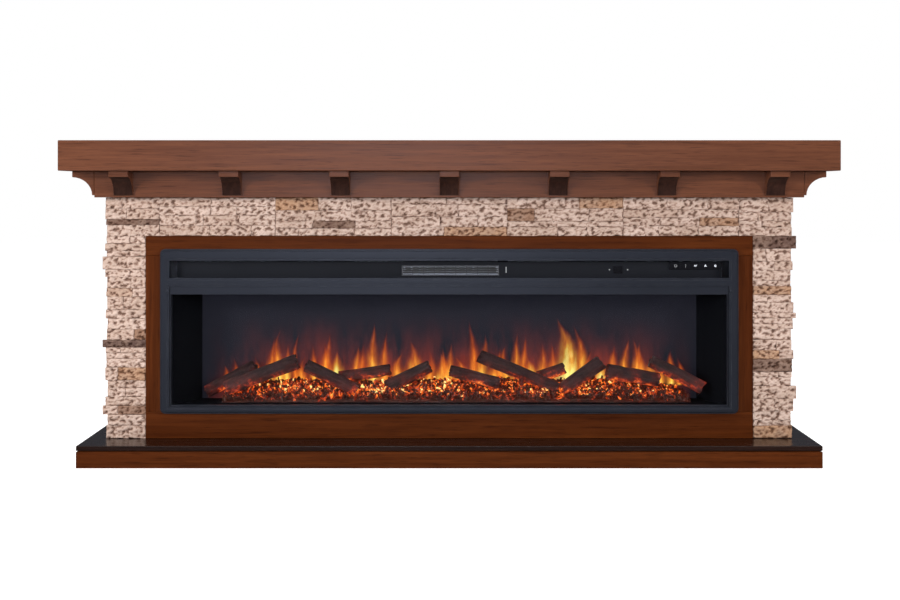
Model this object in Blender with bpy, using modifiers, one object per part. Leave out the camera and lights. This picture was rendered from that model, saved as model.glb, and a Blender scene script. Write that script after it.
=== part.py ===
"""Electric fireplace: a wood and ledge-stone mantel around a wide linear electric insert.

Metres, +Z up, front towards -Y, origin on the floor at the middle of the base.
"""

import math
import random

import bmesh
import bpy
from mathutils import Matrix, Vector

# Overall size
WIDTH = 2.000
DEPTH = 0.400
HEIGHT = 0.838
GAP = 0.0003
BOARD = 0.018

# Mantel
SHELF_H = 0.078
SHELF_NOSE = 0.075
SHELF_END = 0.0735
FRIEZE_H = 0.069
CORBEL_COUNT = 7
CORBEL_W = 0.050
CORBEL_H = 0.063
CORBEL_REACH = 0.058
CORBEL_FILLET = 0.016
CORBEL_FOOT = 0.006
CORBEL_INSET = 0.0765
HEARTH = 0.100
STONE_END = 0.0975
STONE_BACKING = 0.010
STONE_RELIEF = 0.012
STONE_JOINT = 0.002
COURSE_H = 0.025
COLUMN_W = 0.104
HEADER_H = 0.101
HEADER_CORNER = 0.036
HEADER_PANELS = 5
PLINTH_H = 0.0415
GROOVE_H = 0.003
GROOVE_D = 0.006
BASE_TOP_T = 0.0125
BASE_END = 0.0465
SURROUND_T = 0.020
TOP_RAIL_H = 0.051
BOTTOM_RAIL_H = 0.069
STILE_W = 0.0485

# Insert, front
FIT = 0.001
TRIM_LAP_SIDE = 0.0095
TRIM_LAP_TOP = 0.017
TRIM_LAP_BOTTOM = 0.0025
TRIM_SIDE = 0.026
TRIM_TOP = 0.030
TRIM_BOTTOM = 0.019
TRIM_BAR = 0.021
TRIM_D = 0.0137
TRIM_RADIUS = 0.013
TRIM_BEVEL = 0.0025
RECESS_H = 0.0457
WINDOW_SIDE = 0.003
WINDOW_TOP = 0.022
WINDOW_LAP = 0.008
WINDOW_FRONT_D = 0.0095
WINDOW_FLANGE_D = 0.008
GLASS_T = 0.004
GLASS_LAP = 0.007
SHEET = 0.0015
SPLAY = 0.060
LINER_D = 0.099
WORKS_D = 0.056
CASE_D = LINER_D + WORKS_D
SCREEN_T = 0.003
SCREEN_LAP = 0.009

# Insert, upper recess
PANEL_T = 0.002
PANEL_SETBACK = 0.0145
PANEL_SIDE_GAP = 0.0145
PANEL_TOP_GAP = 0.004
PANEL_LIP = 0.0015
GRILLE_X = 0.003
GRILLE_W = 0.256
GRILLE_H = 0.026
GRILLE_D = 0.006
GRILLE_PROUD = 0.002
GRILLE_FRAME = 0.003
GRILLE_SLATS = 3
GRILLE_RISE = 0.0065
STRIP_W = 0.137
STRIP_H = 0.0195
STRIP_T = 0.004
STRIP_END = 0.001
STRIP_DROP = 0.0012
BUTTON_COUNT = 5
BUTTON_PITCH = 0.0262
BUTTON_R = 0.0065
BUTTON_T = 0.0034
BUTTON_PROUD = 0.0006
BUTTON_FIT = 0.0003
LENS_W = 0.024
LENS_H = 0.0185
LENS_T = 0.0025
LENS_TO_STRIP = 0.124

# Insert, works
DUCT_H = 0.028
DUCT_WALL = 0.0015
DUCT_DROP = 0.0005
FLUSH = 0.00001
SCROLL_R = 0.0235
SCROLL_BACK = 0.058
SCROLL_HEADROOM = 0.0047
WHEEL_R = 0.018
WHEEL_BLADES = 14
BLADE_DEPTH = 0.005
BLADE_T = 0.001
SHAFT_R = 0.003
SHAFT_FIT = 0.0006
BLOWER_MOTOR_R = 0.017
BLOWER_MOTOR_L = 0.028
HEATER_D = 0.014
HEATER_SETBACK = 0.010
HEATER_BAR = 0.004
HEATER_CELLS = 12
ROTOR_R = 0.011
ROTOR_HUB = 0.0035
ROTOR_BLADES = 3
ROTOR_STEP = 0.030
ROTOR_TURN = math.radians(22)
ROTOR_PIN_R = 0.002
ROTOR_MOTOR_R = 0.015
ROTOR_MOTOR_L = 0.020
ROTOR_RISE = 0.036
LIGHT_T = 0.004
LIGHT_D = 0.026
PCB_W = 0.270
PCB_H = 0.036
PCB_T = 0.0016
GLAND_X = 0.600
GLAND_NECK = 0.0077
GLAND_BORE = 0.004

# Fire bed
BED_LEFT = 0.100
BED_RIGHT = 0.047
BED_FRONT_H = 0.012
BED_BACK_H = 0.056
BED_RUN = 0.082
BED_LUMP = 0.004
LOG_SIDES = 10

# Planes worked out from the sizes above, front to back
front = -DEPTH / 2
back = DEPTH / 2
stone_face = front + HEARTH
stone_mortar = stone_face + STONE_RELIEF
stone_back = stone_mortar + STONE_BACKING
carcass_front = stone_back + GAP
carcass_inside = carcass_front + BOARD
frieze_front = front + SHELF_NOSE
surround_face = stone_back - SURROUND_T
trim_back = surround_face - GAP
trim_front = trim_back - TRIM_D

# Heights, floor to shelf
base_top = PLINTH_H + GROOVE_H + BASE_TOP_T
shelf_bottom = HEIGHT - SHELF_H
frieze_bottom = shelf_bottom - FRIEZE_H
header_bottom = frieze_bottom - HEADER_H
surround_bottom = base_top + GAP
surround_top = header_bottom - GAP
opening_bottom = surround_bottom + BOTTOM_RAIL_H
opening_top = surround_top - TOP_RAIL_H

# Half widths
base_half = WIDTH / 2 - BASE_END
frieze_half = WIDTH / 2 - SHELF_END
stone_half = WIDTH / 2 - STONE_END
mortar_half = stone_half - STONE_RELIEF
carcass_half = mortar_half - STONE_BACKING - GAP
column_inner = stone_half - COLUMN_W
surround_half = column_inner - GAP
opening_half = surround_half - STILE_W

# Insert
case_half = opening_half - FIT
case_bottom = opening_bottom + FIT
case_top = opening_top - FIT
case_back = surround_face + CASE_D
trim_half = opening_half + TRIM_LAP_SIDE
trim_bottom = opening_bottom - TRIM_LAP_BOTTOM
trim_top = opening_top + TRIM_LAP_TOP
recess_half = trim_half - TRIM_SIDE
recess_top = trim_top - TRIM_TOP
recess_bottom = recess_top - RECESS_H
window_bottom = trim_bottom + TRIM_BOTTOM
window_top = recess_bottom - TRIM_BAR
window_flange_back = trim_back + GAP + WINDOW_FLANGE_D
glass_front = window_flange_back + GAP
glass_back = glass_front + GLASS_T
view_half = recess_half - GAP - WINDOW_SIDE
view_bottom = window_bottom + GAP + WINDOW_SIDE
view_top = window_top - GAP - WINDOW_TOP
liner_front = glass_back + GAP
liner_back = liner_front + LINER_D
screen_front = liner_back + SHEET * SPLAY / math.hypot(SPLAY, LINER_D) + GAP
screen_back = screen_front + SCREEN_T
panel_front = trim_back + PANEL_SETBACK
panel_back = panel_front + PANEL_T
panel_half = recess_half - PANEL_SIDE_GAP
panel_top = recess_top - PANEL_TOP_GAP
panel_bottom = recess_bottom - PANEL_LIP
grille_bottom = panel_bottom + GRILLE_RISE
grille_back = panel_front - GRILLE_PROUD + GRILLE_D
strip_right = panel_half - STRIP_END
strip_left = strip_right - STRIP_W
strip_bottom = panel_top - STRIP_DROP - STRIP_H
strip_front = panel_front - GAP - STRIP_T
duct_front = grille_back + GAP
scroll_y = duct_front + SCROLL_BACK
duct_bottom = grille_bottom - DUCT_DROP
scroll_z = case_top - SHEET - SCROLL_HEADROOM - SCROLL_R
housing_half = GRILLE_W / 2 - 0.002
rotor_y = (screen_back + case_back - SHEET) / 2
rotor_z = case_bottom + ROTOR_RISE

PARTS = "electric_fireplace"
CUTTERS = "cutters"


def make_material(name, colour, roughness, metallic=0.0):
    """A plain Principled material."""
    material = bpy.data.materials.new(name)
    material.use_nodes = True
    shader = material.node_tree.nodes["Principled BSDF"]
    shader.inputs["Base Color"].default_value = (*colour, 1.0)
    shader.inputs["Roughness"].default_value = roughness
    shader.inputs["Metallic"].default_value = metallic
    material.diffuse_color = (*colour, 1.0)
    return material


def place(name, mesh, material, location=(0, 0, 0), rotation=(0, 0, 0), collection=PARTS):
    """Puts a mesh into the scene as a named object."""
    mesh.name = name
    item = bpy.data.objects.new(name, mesh)
    item.location = location
    item.rotation_euler = rotation
    mesh.materials.clear()
    if material:
        mesh.materials.append(material)
    if collection == CUTTERS:
        item.hide_render = True
        item.display_type = "WIRE"
    bpy.data.collections[collection].objects.link(item)
    return item


def to_mesh(bm):
    mesh = bpy.data.meshes.new("mesh")
    bmesh.ops.recalc_face_normals(bm, faces=bm.faces)
    bm.to_mesh(mesh)
    bm.free()
    return mesh


def smooth(item, angle=40):
    item.data.shade_smooth()
    item.data.set_sharp_from_angle(angle=math.radians(angle))


def add_bevel(item, width, segments=1):
    bevel = item.modifiers.new("edges", "BEVEL")
    bevel.width = width
    bevel.segments = segments
    bevel.limit_method = "ANGLE"


def soften(item, width):
    """Breaks the outward edges only, so that an inner corner stays square for what fits it."""
    bm = bmesh.new()
    bm.from_mesh(item.data)
    edges = [edge for edge in bm.edges if edge.calc_face_angle_signed(0) > 0.5]
    bmesh.ops.bevel(bm, geom=edges, offset=width, segments=1, profile=0.5, affect="EDGES", material=-1)
    bm.to_mesh(item.data)
    bm.free()


def cut(item, *cutters):
    """Takes each cutter away from the item."""
    for cutter in cutters:
        boolean = item.modifiers.new("cut", "BOOLEAN")
        boolean.operation = "DIFFERENCE"
        boolean.solver = "EXACT"
        boolean.object = cutter


def unite(item, *others):
    """Joins other solids, kept with the cutters, to the item."""
    for other in others:
        boolean = item.modifiers.new("join", "BOOLEAN")
        boolean.operation = "UNION"
        boolean.solver = "EXACT"
        boolean.object = other


def box(name, x, y, z, material=None, bevel=0.0, collection=PARTS):
    """A box between two values on each axis."""
    spans = (x, y, z)
    size = [high - low for low, high in spans]
    middle = [(high + low) / 2 for low, high in spans]
    bm = bmesh.new()
    bmesh.ops.create_cube(bm, size=1.0)
    bmesh.ops.scale(bm, vec=size, verts=bm.verts)
    item = place(name, to_mesh(bm), material, middle, collection=collection)
    if bevel:
        add_bevel(item, bevel)
    return item


def rod(name, start, length, radius, material=None, sides=16, axis="X", collection=PARTS):
    """A cylinder that runs from start along +X or +Y."""
    turn = Matrix.Rotation(math.pi / 2, 4, "Y") if axis == "X" else Matrix.Rotation(-math.pi / 2, 4, "X")
    bm = bmesh.new()
    bmesh.ops.create_cone(bm, cap_ends=True, segments=sides, radius1=radius, radius2=radius, depth=length)
    bmesh.ops.translate(bm, vec=(0, 0, length / 2), verts=bm.verts)
    bmesh.ops.transform(bm, matrix=turn, verts=bm.verts)
    item = place(name, to_mesh(bm), material, start, collection=collection)
    smooth(item)
    return item


def sheet(name, outlines, thickness, material, location, rotation, collection=PARTS):
    """A flat outline, with any further outlines as holes, given a thickness about its plane."""
    curve = bpy.data.curves.new(name, "CURVE")
    curve.dimensions = "2D"
    curve.fill_mode = "BOTH"
    curve.extrude = thickness / 2
    for outline in outlines:
        spline = curve.splines.new("POLY")
        spline.points.add(len(outline) - 1)
        for point, (u, v) in zip(spline.points, outline):
            point.co = (u, v, 0, 1)
        spline.use_cyclic_u = True
    guide = bpy.data.objects.new(name + "_outline", curve)
    bpy.context.scene.collection.objects.link(guide)
    graph = bpy.context.evaluated_depsgraph_get()
    mesh = bpy.data.meshes.new_from_object(guide.evaluated_get(graph))
    bpy.data.objects.remove(guide)
    bm = bmesh.new()
    bm.from_mesh(mesh)
    bmesh.ops.remove_doubles(bm, verts=bm.verts, dist=0.00002)
    return place(name, to_mesh(bm), material, location, rotation, collection)


FACING_FRONT = (math.pi / 2, 0, 0)
FACING_SIDE = (math.pi / 2, 0, math.pi / 2)
LYING = (0, 0, 0)


def rectangle(half, bottom, top):
    return [(-half, bottom), (half, bottom), (half, top), (-half, top)]


def rounded(half, bottom, top, radius, steps=5):
    """A rectangle with round corners."""
    corners = ((half, bottom, -90), (half, top, 0), (-half, top, 90), (-half, bottom, 180))
    points = []
    for x, z, first in corners:
        centre_x = x - math.copysign(radius, x)
        centre_z = z + radius if z == bottom else z - radius
        for step in range(steps + 1):
            angle = math.radians(first + 90 * step / steps)
            points.append((centre_x + radius * math.cos(angle), centre_z + radius * math.sin(angle)))
    return points


def wrap(name, half, face, wall_side, wall_front, z, material, bevel=0.0):
    """A board that runs across the front and turns back along both sides to the wall."""
    outline = [
        (-half, back), (-half, face), (half, face), (half, back), (half - wall_side, back),
        (half - wall_side, face + wall_front), (-half + wall_side, face + wall_front), (-half + wall_side, back),
    ]
    item = sheet(name, [outline], z[1] - z[0], material, (0, 0, (z[0] + z[1]) / 2), LYING)
    if bevel:
        soften(item, bevel)
    return item


def build_shelf(wood):
    wrap("shelf_fascia", WIDTH / 2, front, BOARD, BOARD, (shelf_bottom, HEIGHT), wood, 0.0015)
    half = WIDTH / 2 - BOARD - GAP
    inner = (front + BOARD + GAP, back)
    box("shelf_top_board", (-half, half), inner, (HEIGHT - BOARD, HEIGHT), wood)
    box("shelf_soffit", (-half, half), inner, (shelf_bottom, shelf_bottom + BOARD), wood)


def build_frieze(wood):
    side = frieze_half - carcass_half - GAP
    depth = carcass_front - GAP - frieze_front
    wrap("frieze", frieze_half, frieze_front, side, depth, (frieze_bottom + GAP, shelf_bottom - GAP), wood, 0.001)


def corbel_outline():
    """Fillet above a hollow quarter round, as (reach, height) from the frieze and the shelf."""
    drop = CORBEL_H - CORBEL_FILLET
    hollow = CORBEL_REACH - CORBEL_FOOT
    points = [(GAP, -GAP), (CORBEL_REACH, -GAP)]
    for step in range(9):
        angle = math.pi / 2 * step / 8
        reach = CORBEL_REACH - hollow * math.sin(angle)
        points.append((reach, -CORBEL_H + drop * math.cos(angle)))
    points.append((GAP, -CORBEL_H))
    return points


def build_corbels(wood):
    outline = [[(reach, height) for reach, height in corbel_outline()]]
    run = 2 * (frieze_half - CORBEL_INSET)
    for index in range(CORBEL_COUNT):
        x = -run / 2 + run * index / (CORBEL_COUNT - 1)
        spot = (x, frieze_front, shelf_bottom)
        sheet(f"corbel_{index + 1}", outline, CORBEL_W, wood, spot, (math.pi / 2, 0, -math.pi / 2))
    y = frieze_front + CORBEL_W / 2
    sheet("corbel_end_right", outline, CORBEL_W, wood, (frieze_half, y, shelf_bottom), (math.pi / 2, 0, 0))
    sheet("corbel_end_left", outline, CORBEL_W, wood, (-frieze_half, y, shelf_bottom), (math.pi / 2, 0, math.pi))


def split_faces(bm, faces, point, normal):
    """Cuts only the given faces by a plane and returns all the pieces."""
    edges = {edge for face in faces for edge in face.edges}
    verts = {vert for face in faces for vert in face.verts}
    geometry = list(faces) + list(edges) + list(verts)
    found = bmesh.ops.bisect_plane(bm, geom=geometry, dist=0.00001, plane_co=point, plane_no=normal)
    return [item for item in found["geom"] if isinstance(item, bmesh.types.BMFace)]


def push_out(bm, faces):
    """Extrudes a patch of faces and returns its new points, still in place."""
    edges = {edge for face in faces for edge in face.edges}
    verts = {vert for face in faces for vert in face.verts}
    made = bmesh.ops.extrude_face_region(bm, geom=list(faces) + list(edges) + list(verts))
    return [item for item in made["geom"] if isinstance(item, bmesh.types.BMVert)]


def spread(low, high, nominal, chance, spare=0.25):
    """Irregular divisions of a length, each near the nominal size."""
    count = max(1, round((high - low) / nominal))
    weights = [1 + chance.uniform(-spare, spare) for _ in range(count)]
    marks = [low]
    for weight in weights[:-1]:
        marks.append(marks[-1] + (high - low) * weight / sum(weights))
    return marks + [high]


def lay_stones(bm, side, seed, courses, length, lift):
    """Divides the front face, and with side = 1 or -1 the outer side face, into raised stones."""
    chance = random.Random(seed)
    normals = [Vector((0, -1, 0))] + ([Vector((side, 0, 0))] if side else [])
    bm.normal_update()
    faces = [f for f in bm.faces if any(f.normal.dot(n) > 0.99 for n in normals)]
    planes = {}
    for face in faces:
        middle = face.calc_center_median()
        planes[face.normal.y < -0.5] = middle.y if face.normal.y < -0.5 else middle.x
    joint = STONE_JOINT / 2
    for mark in courses[1:-1]:
        for z in (mark - joint, mark + joint):
            faces = split_faces(bm, faces, (0, 0, z), (0, 0, 1))
    bm.normal_update()
    for low, high in zip(courses, courses[1:]):
        level = [f for f in faces if f.is_valid and low < f.calc_center_median().z < high]
        level = [f for f in level if max(v.co.z for v in f.verts) - min(v.co.z for v in f.verts) > 2.1 * joint]
        corner_stones = []
        plain = []
        for is_front in (True, False):
            course = [f for f in level if (f.normal.y < -0.5) == is_front]
            if not course:
                continue
            axis = 0 if is_front else 1
            start = min(v.co[axis] for f in course for v in f.verts)
            end = max(v.co[axis] for f in course for v in f.verts)
            marks = spread(start, end, length * chance.uniform(0.8, 1.3), chance)
            plane = Vector((1, 0, 0)) if is_front else Vector((0, 1, 0))
            for mark in marks[1:-1]:
                for place_at in (mark - joint, mark + joint):
                    course = split_faces(bm, course, plane * place_at, plane)
            for face in course:
                ends = [v.co[axis] for v in face.verts]
                if max(ends) - min(ends) < 2.1 * joint:
                    continue
                outer = max(ends) * side > end * side - 1e-5 if is_front and side > 0 else False
                outer = outer or (is_front and side < 0 and min(ends) < start + 1e-5)
                outer = outer or (not is_front and min(ends) < start + 1e-5)
                (corner_stones if side and outer else plain).append(face)
        for stone in [[face] for face in plain] + ([corner_stones] if corner_stones else []):
            if not stone:
                continue
            raise_front = chance.uniform(*lift)
            raise_side = chance.uniform(*lift)
            for vert in push_out(bm, stone):
                on_front = abs(vert.co.y - planes[True]) < 1e-5
                on_side = side and abs(vert.co.x - planes[False]) < 1e-5
                if on_front:
                    vert.co.y -= raise_front
                if on_side:
                    vert.co.x += side * raise_side


def build_header_stone(stone):
    left = -column_inner + HEADER_CORNER
    step = -2 * left / HEADER_PANELS
    for index in range(HEADER_PANELS):
        x0 = left + step * index + GAP / 2
        x1 = x0 + step - GAP
        bm = bmesh.new()
        bmesh.ops.create_cube(bm, size=1.0)
        bmesh.ops.scale(bm, vec=(x1 - x0, STONE_BACKING, HEADER_H - GAP), verts=bm.verts)
        middle = ((x0 + x1) / 2, stone_mortar + STONE_BACKING / 2, header_bottom + (HEADER_H - GAP) / 2)
        bmesh.ops.translate(bm, vec=middle, verts=bm.verts)
        chance = random.Random(40 + index)
        courses = spread(header_bottom, frieze_bottom - GAP, COURSE_H, chance)
        lay_stones(bm, 0, 60 + index, courses, 0.105, (STONE_RELIEF * 0.55, STONE_RELIEF))
        place(f"stone_header_{index + 1}", to_mesh(bm), stone)


def build_column(name, side, seed, stone):
    """An L of stone: front face, side return, and a wider head beside the header panels."""
    inner = side * (column_inner + GAP / 2)
    outer = side * mortar_half
    leg = side * (mortar_half - STONE_BACKING)
    outline = [(inner, stone_mortar), (outer, stone_mortar), (outer, back), (leg, back), (leg, stone_back), (inner, stone_back)]
    height = frieze_bottom - surround_bottom
    base = sheet(name, [outline], height, stone, (0, 0, 0), LYING)
    bm = bmesh.new()
    bm.from_mesh(base.data)
    bpy.data.objects.remove(base)
    bmesh.ops.translate(bm, vec=(0, 0, surround_bottom + height / 2), verts=bm.verts)
    bmesh.ops.recalc_face_normals(bm, faces=bm.faces)
    bmesh.ops.dissolve_limit(bm, angle_limit=0.01, verts=bm.verts, edges=bm.edges)
    bm.normal_update()
    end = [f for f in bm.faces if f.normal.x * side < -0.99 and f.calc_center_median().y < stone_back]
    pieces = split_faces(bm, end, (0, 0, header_bottom), (0, 0, 1))
    head = [f for f in pieces if f.calc_center_median().z > header_bottom]
    bmesh.ops.translate(bm, vec=(-side * HEADER_CORNER, 0, 0), verts=push_out(bm, head))
    bmesh.ops.dissolve_limit(bm, angle_limit=0.01, verts=bm.verts, edges=bm.edges)
    chance = random.Random(seed)
    lower = spread(surround_bottom, header_bottom, COURSE_H, chance)
    upper = spread(header_bottom, frieze_bottom, COURSE_H, chance)
    lay_stones(bm, side, seed + 1, lower + upper[1:], 0.125, (STONE_RELIEF * 0.55, STONE_RELIEF))
    place(name, to_mesh(bm), stone)


def build_surround(wood):
    depth = (surround_face, stone_back)
    box("surround_top_rail", (-surround_half, surround_half), depth, (opening_top, surround_top), wood, 0.0008)
    box("surround_bottom_rail", (-surround_half, surround_half), depth, (surround_bottom, opening_bottom), wood, 0.0008)
    stile = (opening_bottom + GAP, opening_top - GAP)
    box("surround_stile_right", (opening_half, surround_half), depth, stile, wood, 0.0008)
    box("surround_stile_left", (-surround_half, -opening_half), depth, stile, wood, 0.0008)


def build_base(wood):
    top = (PLINTH_H + GROOVE_H, base_top)
    box("base_top", (-base_half, base_half), (front, back), top, wood, 0.0012)
    plinth = wrap("base_plinth", base_half, front, BOARD, BOARD, (0, PLINTH_H + GROOVE_H - GAP), wood)
    rim = (PLINTH_H, top[0] + GROOVE_H)
    edge = base_half - GROOVE_D
    across = (-base_half - 0.01, base_half + 0.01)
    along = (front - 0.01, back + 0.01)
    cut(
        plinth,
        box("groove_front", across, (front - 0.01, front + GROOVE_D), rim, collection=CUTTERS),
        box("groove_left", (across[0], -edge), along, rim, collection=CUTTERS),
        box("groove_right", (edge, across[1]), along, rim, collection=CUTTERS),
    )


def build_carcass(board):
    height = (surround_bottom, shelf_bottom - GAP)
    carcass = wrap("carcass", carcass_half, carcass_front, BOARD, BOARD, height, board)
    reach = (carcass_front - 0.01, carcass_inside + 0.01)
    hole = (opening_bottom, opening_top)
    cut(carcass, box("carcass_opening", (-opening_half, opening_half), reach, hole, collection=CUTTERS))
    half = carcass_half - BOARD - GAP
    top = case_bottom - GAP
    box("insert_deck", (-half, half), (carcass_inside + GAP, back), (top - BOARD, top), board)


def build_case(steel):
    """Sheet-metal case, open at the front."""
    bm = bmesh.new()
    bmesh.ops.create_cube(bm, size=1.0)
    bmesh.ops.scale(bm, vec=(2 * case_half, CASE_D, case_top - case_bottom), verts=bm.verts)
    bm.normal_update()
    mouth = [f for f in bm.faces if f.normal.y < -0.9]
    bmesh.ops.delete(bm, geom=mouth, context="FACES_ONLY")
    middle = (0, surround_face + CASE_D / 2, (case_bottom + case_top) / 2)
    case = place("insert_case", to_mesh(bm), steel, middle)
    shell = case.modifiers.new("sheet", "SOLIDIFY")
    shell.thickness = SHEET
    shell.offset = -1
    shell.use_even_offset = True
    pin = rod("rotor_pin_hole", (case_half - 0.01, rotor_y, rotor_z), 0.02, ROTOR_PIN_R + 0.0004, collection=CUTTERS)
    spot = (GLAND_X, case_back - 0.01, scroll_z)
    gland = rod("gland_hole", spot, 0.02, GLAND_NECK + GAP, axis="Y", sides=24, collection=CUTTERS)
    cut(case, pin, gland)


def build_trim(steel):
    outlines = [
        rounded(trim_half, trim_bottom, trim_top, TRIM_RADIUS),
        rectangle(recess_half, recess_bottom, recess_top),
        rectangle(recess_half, window_bottom, window_top),
    ]
    trim = sheet("trim_frame", outlines, TRIM_D, steel, (0, (trim_front + trim_back) / 2, 0), FACING_FRONT)
    soften(trim, TRIM_BEVEL)


def build_window(steel, glass):
    """The window frame stands in the trim's opening, with a flange behind it that holds the glass."""
    half = recess_half - GAP
    bottom = window_bottom + GAP
    top = window_top - GAP
    view = rectangle(view_half, view_bottom, view_top)
    depth = WINDOW_FRONT_D + GAP + WINDOW_FLANGE_D
    middle = window_flange_back - depth / 2
    outer = rectangle(half + WINDOW_LAP, bottom - WINDOW_LAP, top + WINDOW_LAP)
    frame = sheet("window_frame", [outer, view], depth, steel, (0, middle, 0), FACING_FRONT)
    far = rectangle(half + 0.05, bottom - 0.05, top + 0.05)
    step = rectangle(half, bottom, top)
    reach = depth - WINDOW_FLANGE_D
    spot = (0, window_flange_back - WINDOW_FLANGE_D - 0.01 - reach / 2 + 0.01, 0)
    rebate = sheet("window_rebate", [far, step], reach, None, spot, FACING_FRONT, CUTTERS)
    cut(frame, rebate)
    lap = GLASS_LAP
    span = (view_bottom - lap, view_top + lap)
    box("window_glass", (-view_half - lap, view_half + lap), (glass_front, glass_back), span, glass)


def build_liner(steel, acrylic):
    """The firebox: a short tunnel that narrows towards the flame screen, flanged at the front."""
    bm = bmesh.new()
    bmesh.ops.create_cube(bm, size=1.0)
    bmesh.ops.scale(bm, vec=(2 * view_half, LINER_D, view_top - view_bottom), verts=bm.verts)
    bmesh.ops.translate(bm, vec=(0, liner_front + LINER_D / 2, (view_bottom + view_top) / 2), verts=bm.verts)
    bm.normal_update()
    ends = [f for f in bm.faces if abs(f.normal.y) > 0.9]
    bmesh.ops.delete(bm, geom=ends, context="FACES_ONLY")
    for vert in bm.verts:
        if vert.co.y > liner_front + LINER_D / 2:
            vert.co.x -= math.copysign(SPLAY, vert.co.x)
    rim = [e for e in bm.edges if e.is_boundary and all(v.co.y < liner_front + 0.01 for v in e.verts)]
    made = bmesh.ops.extrude_edge_only(bm, edges=rim)
    low = case_bottom + SHEET + GAP
    for vert in [v for v in made["geom"] if isinstance(v, bmesh.types.BMVert)]:
        vert.co.x = math.copysign(case_half - SHEET - GAP, vert.co.x)
        vert.co.z = low if vert.co.z < (view_bottom + view_top) / 2 else window_top + WINDOW_LAP
    liner = place("firebox_liner", to_mesh(bm), steel)
    shell = liner.modifiers.new("sheet", "SOLIDIFY")
    shell.thickness = SHEET
    shell.offset = -1
    shell.use_even_offset = True
    half = view_half - SPLAY + SCREEN_LAP
    depth = (screen_front, screen_back)
    span = (case_bottom + SHEET + GAP, view_top + SCREEN_LAP)
    box("flame_screen", (-half, half), depth, span, acrylic)


def spoke_of(vert, sides):
    """The number of the edge line that a point of an upright cylinder is on, counted from +Y."""
    return round(math.atan2(vert.co.x, vert.co.y) / (2 * math.pi / sides)) % sides


def log_mesh(start, end, radius_start, radius_end, seed, grow=0.0):
    """A rough split log between two points, with a slight bow."""
    chance = random.Random(seed)
    start = Vector(start)
    end = Vector(end)
    run = end - start
    bm = bmesh.new()
    bmesh.ops.create_cone(
        bm, cap_ends=True, segments=LOG_SIDES, radius1=radius_start + grow,
        radius2=radius_end + grow, depth=run.length + 2 * grow,
    )
    cuts = 5
    for index in range(1, cuts):
        z = run.length * (index / cuts - 0.5)
        bmesh.ops.bisect_plane(bm, geom=bm.verts[:] + bm.edges[:] + bm.faces[:], plane_co=(0, 0, z), plane_no=(0, 0, 1))
    ridges = [1 + chance.uniform(-0.10, 0.10) for _ in range(LOG_SIDES)]
    bows = [chance.uniform(-0.0025, 0.0025) for _ in range(cuts + 1)]
    for vert in bm.verts:
        level = round((vert.co.z / run.length + 0.5) * cuts)
        level = min(max(level, 0), cuts)
        spoke = spoke_of(vert, LOG_SIDES)
        radius = math.hypot(vert.co.x, vert.co.y)
        wanted = (radius - grow) * ridges[spoke] + grow
        vert.co.x *= wanted / radius
        vert.co.y *= wanted / radius
        vert.co.y += bows[level]
    turn = Vector((0, 0, 1)).rotation_difference(run).to_matrix().to_4x4()
    bmesh.ops.transform(bm, matrix=Matrix.Translation((start + end) / 2) @ turn, verts=bm.verts)
    return to_mesh(bm)


# Loose logs: share of the bed from its middle, depth in front of the screen, rise of the lower
# end's axis, run in X, rise over the run, radius at the left and right ends.
LOOSE_LOGS = {
    "log_left": (-0.804, 0.058, 0.034, 0.190, 0.074, 0.016, 0.017),
    "log_second": (-0.522, 0.057, 0.098, 0.133, -0.070, 0.014, 0.015),
    "log_middle": (0.062, 0.062, 0.084, 0.134, -0.035, 0.013, 0.014),
    "log_long": (0.243, 0.042, 0.119, 0.211, -0.090, 0.015, 0.014),
    "log_right_rising": (0.501, 0.057, 0.027, 0.098, 0.082, 0.015, 0.016),
    "log_thick": (0.708, 0.050, 0.074, 0.148, -0.021, 0.019, 0.015),
    "log_right": (0.882, 0.062, 0.110, 0.136, -0.072, 0.014, 0.015),
}
# Logs moulded in one with the bed.
FIXED_LOGS = {
    "moulded_rear_left": (-0.942, 0.025, 0.0205, 0.138, 0.042, 0.0150, 0.0145),
    "moulded_rear_middle": (-0.373, 0.025, 0.054, 0.138, 0.020, 0.014, 0.014),
    "moulded_front_middle": (-0.192, 0.036, 0.031, 0.116, 0.060, 0.0165, 0.016),
    "moulded_rear_right": (0.381, 0.025, 0.054, 0.073, 0.024, 0.014, 0.014),
}


def log_ends(place_of):
    share, depth, rise, run, climb, _, _ = place_of
    bed_middle = (BED_LEFT - BED_RIGHT) / 2
    bed_half = view_half - (BED_LEFT + BED_RIGHT) / 2
    x = bed_middle + share * bed_half
    y = liner_back - depth
    z = view_bottom + rise
    return (x - run / 2, y, z), (x + run / 2, y + 0.004, z + climb)


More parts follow.
